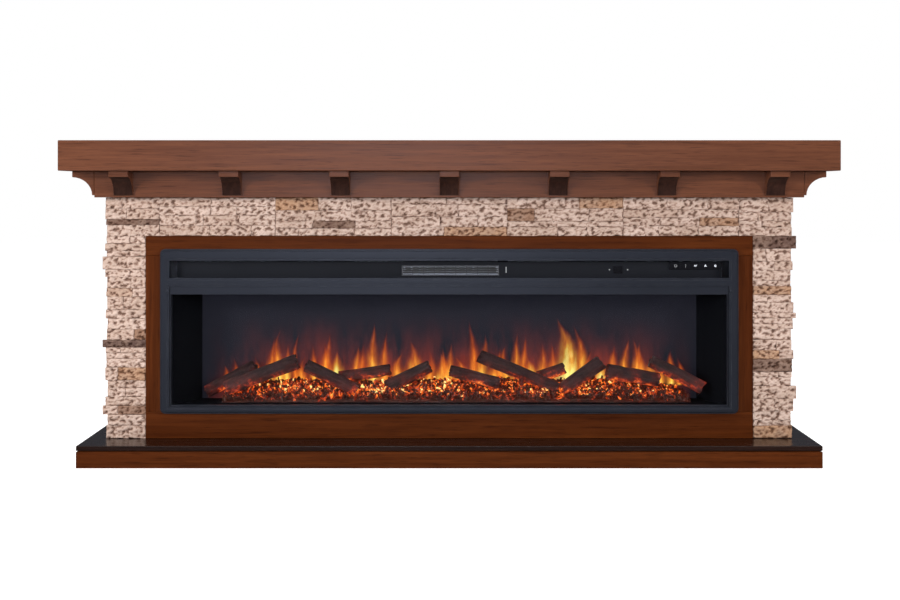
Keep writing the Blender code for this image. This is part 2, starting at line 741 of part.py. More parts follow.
def build_bed(ember, bark):
    """Heap of embers that rises to the back, moulded with four logs and hollowed for the loose ones."""
    chance = random.Random(11)
    columns = 44
    rows = 5
    bm = bmesh.new()
    bmesh.ops.create_cube(bm, size=1.0)
    for index in range(1, columns):
        x = index / columns - 0.5
        bmesh.ops.bisect_plane(bm, geom=bm.verts[:] + bm.edges[:] + bm.faces[:], plane_co=(x, 0, 0), plane_no=(1, 0, 0))
    top = [f for f in bm.faces if f.normal.z > 0.5]
    for index in range(1, rows):
        top = split_faces(bm, top, (0, index / rows - 0.5, 0), (0, 1, 0))
    for vert in bm.verts:
        along = vert.co.x + 0.5
        across = vert.co.y + 0.5
        upper = vert.co.z > 0
        vert.co.y = liner_back - GAP - BED_RUN * (1 - across)
        wall = view_half - SPLAY * (vert.co.y - liner_front) / LINER_D
        vert.co.x = -wall + BED_LEFT + (2 * wall - BED_LEFT - BED_RIGHT) * along
        height = BED_FRONT_H + (BED_BACK_H - BED_FRONT_H) * across
        ends = min(1.0, 0.7 + 14 * min(along, 1 - along))
        height = height * ends + chance.uniform(-1, 1) * BED_LUMP
        vert.co.z = view_bottom + GAP + (height if upper else 0)
    bed = place("ember_bed", to_mesh(bm), ember)
    for seed, (name, spot) in enumerate(FIXED_LOGS.items()):
        start, end = log_ends(spot)
        unite(bed, place(name, log_mesh(start, end, spot[5], spot[6], 70 + seed), None, collection=CUTTERS))
    for seed, (name, spot) in enumerate(LOOSE_LOGS.items()):
        start, end = log_ends(spot)
        smooth(place(name, log_mesh(start, end, spot[5], spot[6], 80 + seed), bark))
        pocket = log_mesh(start, end, spot[5], spot[6], 80 + seed, grow=2 * GAP)
        cut(bed, place("pocket_" + name, pocket, None, collection=CUTTERS))


def build_recess(panel_metal, grille_metal, gloss):
    panel_box = ((-panel_half, panel_half), (panel_front, panel_back), (panel_bottom, panel_top))
    panel = box("vent_panel", *panel_box, panel_metal)
    lip_z = (panel_bottom, panel_bottom + PANEL_LIP)
    lip = box("panel_lip", (-panel_half, panel_half), (trim_back + GAP, panel_front + 0.001), lip_z, collection=CUTTERS)
    unite(panel, lip)
    left = GRILLE_X - GRILLE_W / 2
    right = GRILLE_X + GRILLE_W / 2
    top = grille_bottom + GRILLE_H
    hole_x = (left - GAP, right + GAP)
    hole_z = (grille_bottom - GAP, top + GAP)
    cut(panel, box("grille_hole", hole_x, (panel_front - 0.004, panel_back + 0.01), hole_z, collection=CUTTERS))
    outlines = [[(left, grille_bottom), (right, grille_bottom), (right, top), (left, top)]]
    slots = GRILLE_SLATS + 1
    slat = GRILLE_FRAME
    slot_h = (GRILLE_H - 2 * GRILLE_FRAME - GRILLE_SLATS * slat) / slots
    for index in range(slots):
        z = grille_bottom + GRILLE_FRAME + index * (slot_h + slat)
        x0 = left + GRILLE_FRAME
        x1 = right - GRILLE_FRAME
        outlines.append([(x0, z), (x1, z), (x1, z + slot_h), (x0, z + slot_h)])
    sheet("outlet_grille", outlines, GRILLE_D, grille_metal, (0, grille_back - GRILLE_D / 2, 0), FACING_FRONT)
    lens_x = strip_left - LENS_TO_STRIP
    lens_z = strip_bottom - 0.010
    lens_y = panel_front - GAP
    box("display_lens", (lens_x - LENS_W, lens_x), (lens_y - LENS_T, lens_y), (lens_z, lens_z + LENS_H), gloss, 0.0006)


def build_controls(gloss, key):
    """Control strip with a row of short-travel buttons, each in its own hole."""
    depth = (strip_front, strip_front + STRIP_T)
    strip = box("control_strip", (strip_left, strip_right), depth, (strip_bottom, strip_bottom + STRIP_H), gloss)
    z = strip_bottom + STRIP_H / 2
    middle = (strip_left + strip_right) / 2
    for index in range(BUTTON_COUNT):
        x = middle + BUTTON_PITCH * (index - (BUTTON_COUNT - 1) / 2)
        spot = (x, strip_front - 0.01, z)
        hole = rod(f"button_hole_{index + 1}", spot, 0.03, BUTTON_R + BUTTON_FIT, sides=24, axis="Y", collection=CUTTERS)
        cut(strip, hole)
        rest = (x, strip_front - BUTTON_PROUD, z)
        rod(f"button_{index + 1}", rest, BUTTON_T, BUTTON_R, key, sides=24, axis="Y")


def scroll_outline(inset, mouth):
    """Duct and scroll seen from the end, as (y, z), inset from the outside by a wall.

    The duct's floor runs flat under the heater, and bends behind it if the scroll isn't level with it.
    """
    radius = SCROLL_R - inset
    bottom = duct_bottom + inset
    top = duct_bottom + DUCT_H - inset
    first = math.pi - math.asin((top - scroll_z) / radius)
    points = [(mouth, bottom)]
    if abs(scroll_z - radius - bottom) > FLUSH:
        points.append((duct_front + HEATER_SETBACK + HEATER_D, bottom))
    steps = 16
    for step in range(steps + 1):
        angle = -math.pi / 2 + (first + math.pi / 2) * step / steps
        points.append((scroll_y + radius * math.cos(angle), scroll_z + radius * math.sin(angle)))
    points.append((mouth, top))
    return points


def build_blower(sheet_steel, wheel_metal, motor_metal):
    length = 2 * housing_half
    centre = (GRILLE_X, 0, 0)
    housing = sheet("blower_housing", [scroll_outline(0, duct_front)], length, sheet_steel, centre, FACING_SIDE)
    hollow = [scroll_outline(DUCT_WALL, duct_front - 0.02)]
    inner = sheet("blower_hollow", hollow, length - 2 * DUCT_WALL, None, centre, FACING_SIDE, CUTTERS)
    slot_x = (GRILLE_X - housing_half + 0.006, GRILLE_X + housing_half - 0.006)
    slot_y = (scroll_y - 0.006, scroll_y + 0.014)
    intake = box("blower_intake", slot_x, slot_y, (scroll_z + 0.012, scroll_z + SCROLL_R + 0.01), collection=CUTTERS)
    start = (GRILLE_X - housing_half - 0.01, scroll_y, scroll_z)
    bore = rod("blower_bore", start, length + 0.02, SHAFT_R + SHAFT_FIT, collection=CUTTERS)
    cut(housing, inner, intake, bore)
    half = housing_half - DUCT_WALL - 0.004
    shaft_end = GRILLE_X + housing_half + BLOWER_MOTOR_L * 0.6
    shaft_start = GRILLE_X - housing_half - 0.002
    wheel = rod("blower_wheel", (shaft_start, scroll_y, scroll_z), shaft_end - shaft_start, SHAFT_R, wheel_metal)
    wheel.data.transform(Matrix.Translation((shaft_start - GRILLE_X, 0, 0)))
    wheel.location = (GRILLE_X, scroll_y, scroll_z)
    for index, x in enumerate((-half, -0.001, half - 0.002)):
        spot = (GRILLE_X + x, scroll_y, scroll_z)
        unite(wheel, rod(f"wheel_disc_{index}", spot, 0.002, WHEEL_R, sides=28, collection=CUTTERS))
    for index in range(WHEEL_BLADES):
        radial = (WHEEL_R - BLADE_DEPTH - 0.0005, WHEEL_R - 0.0005)
        blade = box(f"wheel_blade_{index}", (-half + 0.001, half - 0.001), (-BLADE_T / 2, BLADE_T / 2), radial, collection=CUTTERS)
        middle = (radial[0] + radial[1]) / 2
        blade.data.transform(Matrix.Translation((0, 0, middle)))
        blade.location = (GRILLE_X, scroll_y, scroll_z)
        blade.rotation_euler = (2 * math.pi * (index + 0.5) / WHEEL_BLADES, 0, 0)
        unite(wheel, blade)
    motor_x = GRILLE_X + housing_half + GAP
    motor = rod("blower_motor", (motor_x, scroll_y, scroll_z), BLOWER_MOTOR_L, BLOWER_MOTOR_R, motor_metal, 28)
    seat = (motor_x - 0.01, scroll_y, scroll_z)
    cut(motor, rod("motor_bore", seat, 0.01 + BLOWER_MOTOR_L * 0.8, SHAFT_R + SHAFT_FIT, collection=CUTTERS))


def build_heater(metal):
    """Ladder-shaped heating block that fills the duct in front of the wheel."""
    half = housing_half - DUCT_WALL - GAP
    bottom = duct_bottom + DUCT_WALL + GAP
    top = duct_bottom + DUCT_H - DUCT_WALL - GAP
    outlines = [[(-half, bottom), (half, bottom), (half, top), (-half, top)]]
    cell = (2 * half - HEATER_BAR * (HEATER_CELLS + 1)) / HEATER_CELLS
    for index in range(HEATER_CELLS):
        x = -half + HEATER_BAR + index * (cell + HEATER_BAR)
        low = bottom + HEATER_BAR
        high = top - HEATER_BAR
        outlines.append([(x, low), (x + cell, low), (x + cell, high), (x, high)])
    spot = (GRILLE_X, duct_front + HEATER_SETBACK + HEATER_D / 2, 0)
    sheet("heating_element", outlines, HEATER_D, metal, spot, FACING_FRONT)


def build_rotor(foil, motor_metal):
    """Twisted three-bladed reflector on a shaft between its motor and a hole in the case."""
    half = view_half - SPLAY - 0.010
    segments = round(2 * half / ROTOR_STEP)
    spokes = 2 * ROTOR_BLADES
    bm = bmesh.new()
    bmesh.ops.create_cone(bm, cap_ends=True, segments=spokes, radius1=1, radius2=1, depth=2 * half)
    for index in range(1, segments):
        z = half * (2 * index / segments - 1)
        bmesh.ops.bisect_plane(bm, geom=bm.verts[:] + bm.edges[:] + bm.faces[:], plane_co=(0, 0, z), plane_no=(0, 0, 1))
    for vert in bm.verts:
        spoke = spoke_of(vert, spokes)
        radius = ROTOR_R if spoke % 2 else ROTOR_HUB
        angle = 2 * math.pi * spoke / spokes + ROTOR_TURN * segments * (vert.co.z / (2 * half) + 0.5)
        vert.co = (vert.co.z, radius * math.cos(angle), radius * math.sin(angle))
    bmesh.ops.triangulate(bm, faces=[f for f in bm.faces if len(f.verts) == 4])
    rotor = place("flame_rotor", to_mesh(bm), foil, (0, rotor_y, rotor_z))
    motor_x = -case_half + SHEET + GAP
    start = motor_x + ROTOR_MOTOR_L * 0.3
    pin_length = case_half - 0.0004 - start
    unite(rotor, rod("rotor_shaft", (start, rotor_y, rotor_z), pin_length, ROTOR_PIN_R, sides=10, collection=CUTTERS))
    motor = rod("rotor_motor", (motor_x, rotor_y, rotor_z), ROTOR_MOTOR_L, ROTOR_MOTOR_R, motor_metal, 28)
    seat = (motor_x + ROTOR_MOTOR_L * 0.2, rotor_y, rotor_z)
    cut(motor, rod("rotor_motor_bore", seat, ROTOR_MOTOR_L, ROTOR_PIN_R + 0.0004, collection=CUTTERS))


def build_electrics(board, plastic):
    half = view_half - SPLAY - 0.030
    low = case_bottom + SHEET + GAP
    depth = (rotor_y - LIGHT_D / 2, rotor_y + LIGHT_D / 2)
    box("light_strip", (-half, half), depth, (low, low + LIGHT_T), board)
    right = strip_right - 0.002
    y = (panel_back + GAP, panel_back + GAP + PCB_T)
    z = (panel_bottom + 0.003, panel_bottom + 0.003 + PCB_H)
    pcb = box("control_board", (right - PCB_W, right), y, z, board)
    blocks = ((0.03, 0.022, 0.014, 0.018), (0.09, 0.030, 0.012, 0.022), (0.17, 0.016, 0.010, 0.014), (0.22, 0.012, 0.016, 0.012))
    for index, (offset, width, depth_of, height) in enumerate(blocks):
        x = right - PCB_W + offset
        spot = (z[0] + z[1] - height) / 2
        chip = ((x, x + width), (y[1] - 0.0005, y[1] + depth_of), (spot, spot + height))
        unite(pcb, box(f"board_part_{index}", *chip, collection=CUTTERS))
    build_gland(plastic)


def build_gland(plastic):
    """Turned gland through the back of the case, drawn as its outer side from top to bottom."""
    mesh = bpy.data.meshes.new("power_gland")
    bm = bmesh.new()
    outside = GAP
    profile = [
        (GLAND_BORE, 0.007), (0.0095, 0.007), (0.011, 0.0055), (0.011, outside), (GLAND_NECK, outside),
        (GLAND_NECK, -0.012), (GLAND_BORE, -0.012),
    ]
    verts = [bm.verts.new((radius, 0, height)) for radius, height in profile]
    for first, second in zip(verts, verts[1:] + verts[:1]):
        bm.edges.new((first, second))
    bm.to_mesh(mesh)
    bm.free()
    gland = place("power_gland", mesh, plastic, (GLAND_X, case_back, scroll_z), (-math.pi / 2, 0, 0))
    turn = gland.modifiers.new("turn", "SCREW")
    turn.steps = 24
    turn.render_steps = 24
    turn.use_merge_vertices = True
    turn.merge_threshold = 0.0001
    turn.use_smooth_shade = False


def main():
    for item in list(bpy.data.objects):
        bpy.data.objects.remove(item)
    for name in (PARTS, CUTTERS):
        bpy.context.scene.collection.children.link(bpy.data.collections.new(name))
    walnut = make_material("walnut", (0.12, 0.045, 0.022), 0.35)
    dark_walnut = make_material("dark_walnut", (0.055, 0.020, 0.010), 0.40)
    board = make_material("board", (0.45, 0.33, 0.20), 0.75)
    stone = make_material("ledge_stone", (0.68, 0.55, 0.44), 0.85)
    slate = make_material("slate_steel", (0.045, 0.048, 0.062), 0.38, 0.6)
    black = make_material("black_steel", (0.012, 0.012, 0.014), 0.5, 0.3)
    zinc = make_material("zinc_sheet", (0.45, 0.46, 0.48), 0.45, 0.9)
    glass = make_material("window_glass", (0.75, 0.80, 0.80), 0.03)
    acrylic = make_material("smoked_screen", (0.06, 0.05, 0.05), 0.25)
    gloss = make_material("gloss_black", (0.008, 0.008, 0.010), 0.12)
    plastic = make_material("black_plastic", (0.02, 0.02, 0.02), 0.5)
    ember = make_material("embers", (0.60, 0.10, 0.02), 0.7)
    bark = make_material("charred_log", (0.06, 0.035, 0.03), 0.85)
    foil = make_material("reflector", (0.80, 0.75, 0.60), 0.18, 1.0)
    circuit = make_material("circuit_board", (0.02, 0.12, 0.05), 0.5)
    build_shelf(walnut)
    build_frieze(walnut)
    build_corbels(walnut)
    build_header_stone(stone)
    build_column("stone_column_right", 1, 21, stone)
    build_column("stone_column_left", -1, 31, stone)
    build_surround(dark_walnut)
    build_base(dark_walnut)
    build_carcass(board)
    build_case(zinc)
    build_trim(slate)
    build_window(slate, glass)
    build_liner(black, acrylic)
    build_bed(ember, bark)
    build_recess(slate, slate, gloss)
    build_controls(gloss, gloss)
    build_blower(zinc, zinc, black)
    build_heater(zinc)
    build_rotor(foil, plastic)
    build_electrics(circuit, plastic)


if __name__ == "__main__":
    main()
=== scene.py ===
"""Electric fireplace: a wood and ledge-stone mantel round a wide insert with glowing logs."""

import logging
import math
import random
from collections.abc import Callable, Iterable, Sequence
from dataclasses import dataclass
from enum import Enum

import bmesh
import bpy
from mathutils import Matrix, Vector, noise


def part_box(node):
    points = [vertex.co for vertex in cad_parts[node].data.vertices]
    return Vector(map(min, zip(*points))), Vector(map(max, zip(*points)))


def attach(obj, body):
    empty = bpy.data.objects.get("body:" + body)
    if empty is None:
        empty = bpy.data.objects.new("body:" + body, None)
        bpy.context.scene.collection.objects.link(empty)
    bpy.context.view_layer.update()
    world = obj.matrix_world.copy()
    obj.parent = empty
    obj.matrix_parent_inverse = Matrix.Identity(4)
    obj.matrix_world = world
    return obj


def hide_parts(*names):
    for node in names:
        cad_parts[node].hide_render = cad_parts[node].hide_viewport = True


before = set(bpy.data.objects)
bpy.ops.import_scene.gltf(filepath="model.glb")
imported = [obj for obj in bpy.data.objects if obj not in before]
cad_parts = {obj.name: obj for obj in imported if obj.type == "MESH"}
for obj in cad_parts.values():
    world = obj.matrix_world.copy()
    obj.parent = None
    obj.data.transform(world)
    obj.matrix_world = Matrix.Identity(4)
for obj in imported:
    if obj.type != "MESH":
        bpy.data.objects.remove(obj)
log = logging.getLogger("fireplace")

ROOT = "mantel_and_insert"
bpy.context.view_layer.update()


class Grain(Enum):
    """The direction that the fibres of a board run, as the stretch of the pattern on each axis."""

    ALONG_X = (1.6, 46.0, 46.0)
    ALONG_Y = (46.0, 1.6, 46.0)
    ALONG_Z = (46.0, 46.0, 1.6)


class Facing(Enum):
    """The way that a wall of stones faces."""

    FRONT = 0
    RIGHT = 1
    LEFT = -1


# ---------------------------------------------------------------- node trees


@dataclass
class Wiring:
    """Adds nodes to one tree and joins them as it goes."""

    tree: bpy.types.NodeTree

    def add(self, kind: str, inputs: dict | None = None, **settings: object) -> bpy.types.Node:
        """Makes a node.

        Args:
            kind: The node's type, without its ShaderNode prefix.
            inputs: Sockets by name or number, each with a value or with the output that feeds it.
            settings: Properties of the node.

        Returns:
            The new node.
        """
        node = self.tree.nodes.new("ShaderNode" + kind)
        node.location = (len(self.tree.nodes) * 190 - 900, (len(self.tree.nodes) % 5) * -170)
        for name, value in settings.items():
            setattr(node, name, value)
        for name, value in (inputs or {}).items():
            if isinstance(value, bpy.types.NodeSocket):
                self.tree.links.new(value, node.inputs[name])
            else:
                node.inputs[name].default_value = value
        return node

    def math(
        self, operation: str, first: object, second: object = 0.0, clamp: bool = False
    ) -> bpy.types.NodeSocket:
        """Returns the output of a Math node."""
        return self.add("Math", {0: first, 1: second}, operation=operation, use_clamp=clamp).outputs[0]

    def mix(self, factor: object, first: object, second: object, blend: str = "MIX") -> bpy.types.NodeSocket:
        """Returns the output of a colour Mix node.

        Args:
            factor: How much of the second colour.
            first: The first colour.
            second: The second colour.
            blend: The way of blending.

        Returns:
            The mixed colour.
        """
        node = self.add("Mix", data_type="RGBA", blend_type=blend)
        for number, value in ((0, factor), (6, first), (7, second)):
            if isinstance(value, bpy.types.NodeSocket):
                self.tree.links.new(value, node.inputs[number])
            else:
                node.inputs[number].default_value = (*value, 1.0) if number else value
        return node.outputs[2]

    def ramp(
        self, value: object, stops: Sequence[tuple[float, tuple[float, float, float]]]
    ) -> bpy.types.NodeSocket:
        """Returns the colour of a ramp with the given stops.

        Args:
            value: Where on the ramp.
            stops: Each place on the ramp and its colour.

        Returns:
            The colour.
        """
        node = self.add("ValToRGB", {0: value})
        band = node.color_ramp
        while len(band.elements) < len(stops):
            band.elements.new(0.5)
        for element, (position, colour) in zip(band.elements, stops):
            element.position = position
            element.color = (*colour, 1.0)
        return node.outputs[0]

    def span(
        self, value: object, low: float, high: float, out_low: float = 0.0, out_high: float = 1.0
    ) -> bpy.types.NodeSocket:
        """Returns a value carried from one range to another, held at its ends."""
        return self.add("MapRange", {0: value, 1: low, 2: high, 3: out_low, 4: out_high}).outputs[0]


def make_group(
    name: str,
    inputs: dict[str, tuple[str, object]],
    outputs: dict[str, str],
    build: Callable[[Wiring, bpy.types.Node], dict[str, bpy.types.NodeSocket]],
) -> bpy.types.NodeTree:
    """Makes a shader node group.

    Args:
        name: The group's name.
        inputs: Each input's socket type and default.
        outputs: Each output's socket type.
        build: Fills the group and returns the socket behind each output.

    Returns:
        The node group.
    """
    tree = bpy.data.node_groups.new(name, "ShaderNodeTree")
    for label, (kind, default) in inputs.items():
        socket = tree.interface.new_socket(name=label, in_out="INPUT", socket_type=kind)
        if kind == "NodeSocketFloat":
            socket.default_value = default
    for label, kind in outputs.items():
        tree.interface.new_socket(name=label, in_out="OUTPUT", socket_type=kind)
    entry = tree.nodes.new("NodeGroupInput")
    leave = tree.nodes.new("NodeGroupOutput")
    for label, socket in build(Wiring(tree), entry).items():
        tree.links.new(socket, leave.inputs[label])
    return tree


def fill_wood(wiring: Wiring, entry: bpy.types.Node) -> dict[str, bpy.types.NodeSocket]:
    """Fills the wood group: long fibres, broad figure and short open pores.

    Args:
        wiring: The wiring of the group.
        entry: The node that holds the inputs.

    Returns:
        The sockets for the outputs, by name.
    """
    vector = entry.outputs["Vector"]
    bend = wiring.add("TexNoise", {"Vector": vector, "Scale": 0.35, "Detail": 2.0})
    moved = wiring.add("VectorMath", {0: vector, 1: bend.outputs["Color"]}, operation="ADD").outputs[0]
    fibre = wiring.add("TexNoise", {"Vector": moved, "Scale": 2.2, "Detail": 7.0, "Roughness": 0.62})
    figure = wiring.add("TexNoise", {"Vector": moved, "Scale": 0.30, "Detail": 3.0, "Roughness": 0.5})
    pore = wiring.add("TexNoise", {"Vector": vector, "Scale": 9.0, "Detail": 2.0, "Roughness": 0.7})
    return {
        "Fibre": fibre.outputs[0],
        "Figure": figure.outputs[0],
        "Pore": wiring.span(pore.outputs[0], 0.56, 0.68),
    }


def fill_wear(wiring: Wiring, entry: bpy.types.Node) -> dict[str, bpy.types.NodeSocket]:
    """Fills the edge wear group: exposed edges, broken up so that they aren't an even line.

    Args:
        wiring: The wiring of the group.
        entry: The node that holds the inputs.

    Returns:
        The sockets for the outputs, by name.
    """
    geometry = wiring.add("NewGeometry")
    rounded = wiring.add("Bevel", {"Radius": 0.0014}, samples=4)
    turn = wiring.add(
        "VectorMath", {0: rounded.outputs[0], 1: geometry.outputs["Normal"]}, operation="DOT_PRODUCT"
    )
    edge = wiring.span(turn.outputs["Value"], 0.990, 0.90)
    patch = wiring.add("TexNoise", {"Vector": entry.outputs["Vector"], "Scale": 38.0, "Detail": 4.0})
    broken = wiring.math("MULTIPLY", edge, wiring.span(patch.outputs[0], 0.35, 0.65))
    return {"Mask": wiring.math("MULTIPLY", broken, entry.outputs["Amount"], clamp=True)}


def fill_dust(wiring: Wiring, entry: bpy.types.Node) -> dict[str, bpy.types.NodeSocket]:
    """Fills the dust group: a thin film on faces that look up, thicker in soft patches.

    Args:
        wiring: The wiring of the group.
        entry: The node that holds the inputs.

    Returns:
        The sockets for the outputs, by name.
    """
    geometry = wiring.add("NewGeometry")
    upward = wiring.add("SeparateXYZ", {0: geometry.outputs["Normal"]}).outputs[2]
    cloud = wiring.add("TexNoise", {"Vector": entry.outputs["Vector"], "Scale": 7.0, "Detail": 5.0})
    film = wiring.math("MULTIPLY", wiring.span(upward, 0.5, 1.0), wiring.span(cloud.outputs[0], 0.3, 0.8))
    return {"Mask": wiring.math("MULTIPLY", film, entry.outputs["Amount"], clamp=True)}


def fill_speckle(wiring: Wiring, entry: bpy.types.Node) -> dict[str, bpy.types.NodeSocket]:
    """Fills the fine surface group: the orange peel of paint and the grit of moulded parts.

    Args:
        wiring: The wiring of the group.
        entry: The node that holds the inputs.

    Returns:
        The sockets for the outputs, by name.
    """
    scale = entry.outputs["Scale"]
    fine = wiring.add("TexNoise", {"Vector": entry.outputs["Vector"], "Scale": scale, "Detail": 3.0})
    broad = wiring.add("TexNoise", {"Vector": entry.outputs["Vector"], "Scale": 5.0, "Detail": 3.0})
    return {"Height": fine.outputs[0], "Cloud": broad.outputs[0]}


def fill_heat(wiring: Wiring, entry: bpy.types.Node) -> dict[str, bpy.types.NodeSocket]:
    """Fills the heat group: how hot a point glows, and its colour from dull red to yellow.

    Args:
        wiring: The wiring of the group.
        entry: The node that holds the inputs.

    Returns:
        The sockets for the outputs, by name.
    """
    vector = entry.outputs["Vector"]
    fine = wiring.add(
        "TexNoise", {"Vector": vector, "Scale": entry.outputs["Scale"], "Detail": 4.0, "Roughness": 0.6}
    )
    drift = wiring.add("TexNoise", {"Vector": vector, "Scale": 24.0, "Detail": 3.0, "Roughness": 0.6})
    core = wiring.span(fine.outputs[0], 0.34, 0.66)
    level = wiring.math("MULTIPLY", core, wiring.span(drift.outputs[0], 0.28, 0.62, 0.45, 1.15))
    level = wiring.math("MULTIPLY", level, entry.outputs["Heat"], clamp=True)
    colour = wiring.ramp(level, (
        (0.00, (0.0, 0.0, 0.0)), (0.16, (0.035, 0.002, 0.0)), (0.34, (0.28, 0.018, 0.002)),
        (0.58, (0.80, 0.115, 0.008)), (0.80, (1.0, 0.34, 0.05)), (1.00, (1.0, 0.74, 0.26)),
    ))
    return {"Level": level, "Color": colour}


FLOAT = "NodeSocketFloat"
VECTOR = "NodeSocketVector"
COLOUR = "NodeSocketColor"
WOOD = make_group(
    "wood_figure", {"Vector": (VECTOR, None)}, {"Fibre": FLOAT, "Figure": FLOAT, "Pore": FLOAT}, fill_wood
)
WEAR = make_group("edge_wear", {"Vector": (VECTOR, None), "Amount": (FLOAT, 1.0)}, {"Mask": FLOAT}, fill_wear)
DUST = make_group("dust_film", {"Vector": (VECTOR, None), "Amount": (FLOAT, 0.2)}, {"Mask": FLOAT}, fill_dust)
SPECKLE = make_group(
    "fine_surface",
    {"Vector": (VECTOR, None), "Scale": (FLOAT, 400.0)},
    {"Height": FLOAT, "Cloud": FLOAT},
    fill_speckle,
)
HEAT = make_group(
    "ember_heat", {"Vector": (VECTOR, None), "Scale": (FLOAT, 60.0), "Heat": (FLOAT, 1.0)},
    {"Level": FLOAT, "Color": COLOUR}, fill_heat,
)


@dataclass
class Paint:
    """One material being made: its wiring, its shader and its object coordinates."""

    name: str

    def __post_init__(self) -> None:
        """Makes the material with a Principled shader."""
        self.material = bpy.data.materials.new(self.name)
        self.material.use_nodes = True
        self.wiring = Wiring(self.material.node_tree)
        self.shader = self.material.node_tree.nodes["Principled BSDF"]
        self.output = self.material.node_tree.nodes["Material Output"]
        self.place = self.wiring.add("TexCoord").outputs["Object"]

    def group(self, tree: bpy.types.NodeTree, **inputs: object) -> bpy.types.Node:
        """Returns a node that uses a group, fed with object coordinates unless Vector is given.

        Args:
            tree: The group.
            inputs: Its inputs, by name.

        Returns:
            The node.
        """
        values = {"Vector": self.place, **inputs}
        node = self.wiring.add("Group", node_tree=tree)
        for name, value in values.items():
            if isinstance(value, bpy.types.NodeSocket):
                self.wiring.tree.links.new(value, node.inputs[name])
            else:
                node.inputs[name].default_value = value
        return node

    def stretched(self, scale: Sequence[float], turn: Sequence[float] = (0, 0, 0)) -> bpy.types.NodeSocket:
        """Returns object coordinates stretched on each axis.

        Args:
            scale: The stretch on each axis.
            turn: The turn about each axis.

        Returns:
            The coordinates.
        """
        mapping = self.wiring.add(
            "Mapping", {"Vector": self.place, "Scale": tuple(scale), "Rotation": tuple(turn)}
        )
        return mapping.outputs[0]

    def set(self, **values: object) -> None:
        """Sets or links sockets of the shader, named with _ for each space.

        Args:
            values: The values or sockets, by name.
        """
        for name, value in values.items():
            socket = self.shader.inputs[name.replace("_", " ")]
            if isinstance(value, bpy.types.NodeSocket):
                self.wiring.tree.links.new(value, socket)
            elif isinstance(value, tuple):
                socket.default_value = (*value, 1.0)
            else:
                socket.default_value = value

    def relief(self, height: bpy.types.NodeSocket, strength: float, distance: float = 0.001) -> None:
        """Feeds a height to the shader's normal through a Bump node.

        Args:
            height: The height.
            strength: How strongly it shows.
            distance: Its depth in metres.
        """
        bump = self.wiring.add("Bump", {"Height": height, "Strength": strength, "Distance": distance})
        self.set(Normal=bump.outputs[0])


# ---------------------------------------------------------------- finishes


@dataclass(frozen=True)
class WoodFinish:
    """Stained timber under satin lacquer."""

    name: str
    dark: tuple[float, float, float]
    light: tuple[float, float, float]
    grain: Grain
    roughness: float = 0.40
    coat: float = 0.0
    shine: float = 0.34
    dust: float = 0.0

    def build(self) -> bpy.types.Material:
        """Returns the material."""
        paint = Paint(self.name)
        wiring = paint.wiring
        wood = paint.group(WOOD, Vector=paint.stretched(self.grain.value))
        tone = wiring.math(
            "ADD",
            wiring.math("MULTIPLY", wood.outputs["Fibre"], 0.65),
            wiring.math("MULTIPLY", wood.outputs["Figure"], 0.35),
        )
        colour = wiring.ramp(
            tone,
            (
                (0.34, self.dark),
                (0.52, tuple((a + b) / 2 for a, b in zip(self.dark, self.light))),
                (0.68, self.light),
            ),
        )
        colour = wiring.mix(
            wiring.math("MULTIPLY", wood.outputs["Pore"], 0.55),
            colour,
            tuple(value * 0.35 for value in self.dark),
        )
        worn = paint.group(WEAR, Amount=0.45)
        colour = wiring.mix(
            worn.outputs["Mask"], colour, tuple(min(1.0, value * 1.9) for value in self.light)
        )
        dusty = paint.group(DUST, Amount=self.dust)
        colour = wiring.mix(dusty.outputs["Mask"], colour, (0.35, 0.32, 0.30))
        rough = wiring.math(
            "ADD", wiring.math("MULTIPLY", wood.outputs["Fibre"], 0.22), self.roughness - 0.11
        )
        rough = wiring.math("ADD", rough, wiring.math("MULTIPLY", dusty.outputs["Mask"], 0.4), clamp=True)
        paint.set(Base_Color=colour, Roughness=rough, Coat_Weight=self.coat, Coat_Roughness=0.20)
        paint.set(Specular_IOR_Level=self.shine)
        height = wiring.math(
            "SUBTRACT", wiring.math("MULTIPLY", wood.outputs["Fibre"], 0.5), wood.outputs["Pore"]
        )
        paint.relief(height, 0.18, 0.0003)
        return paint.material


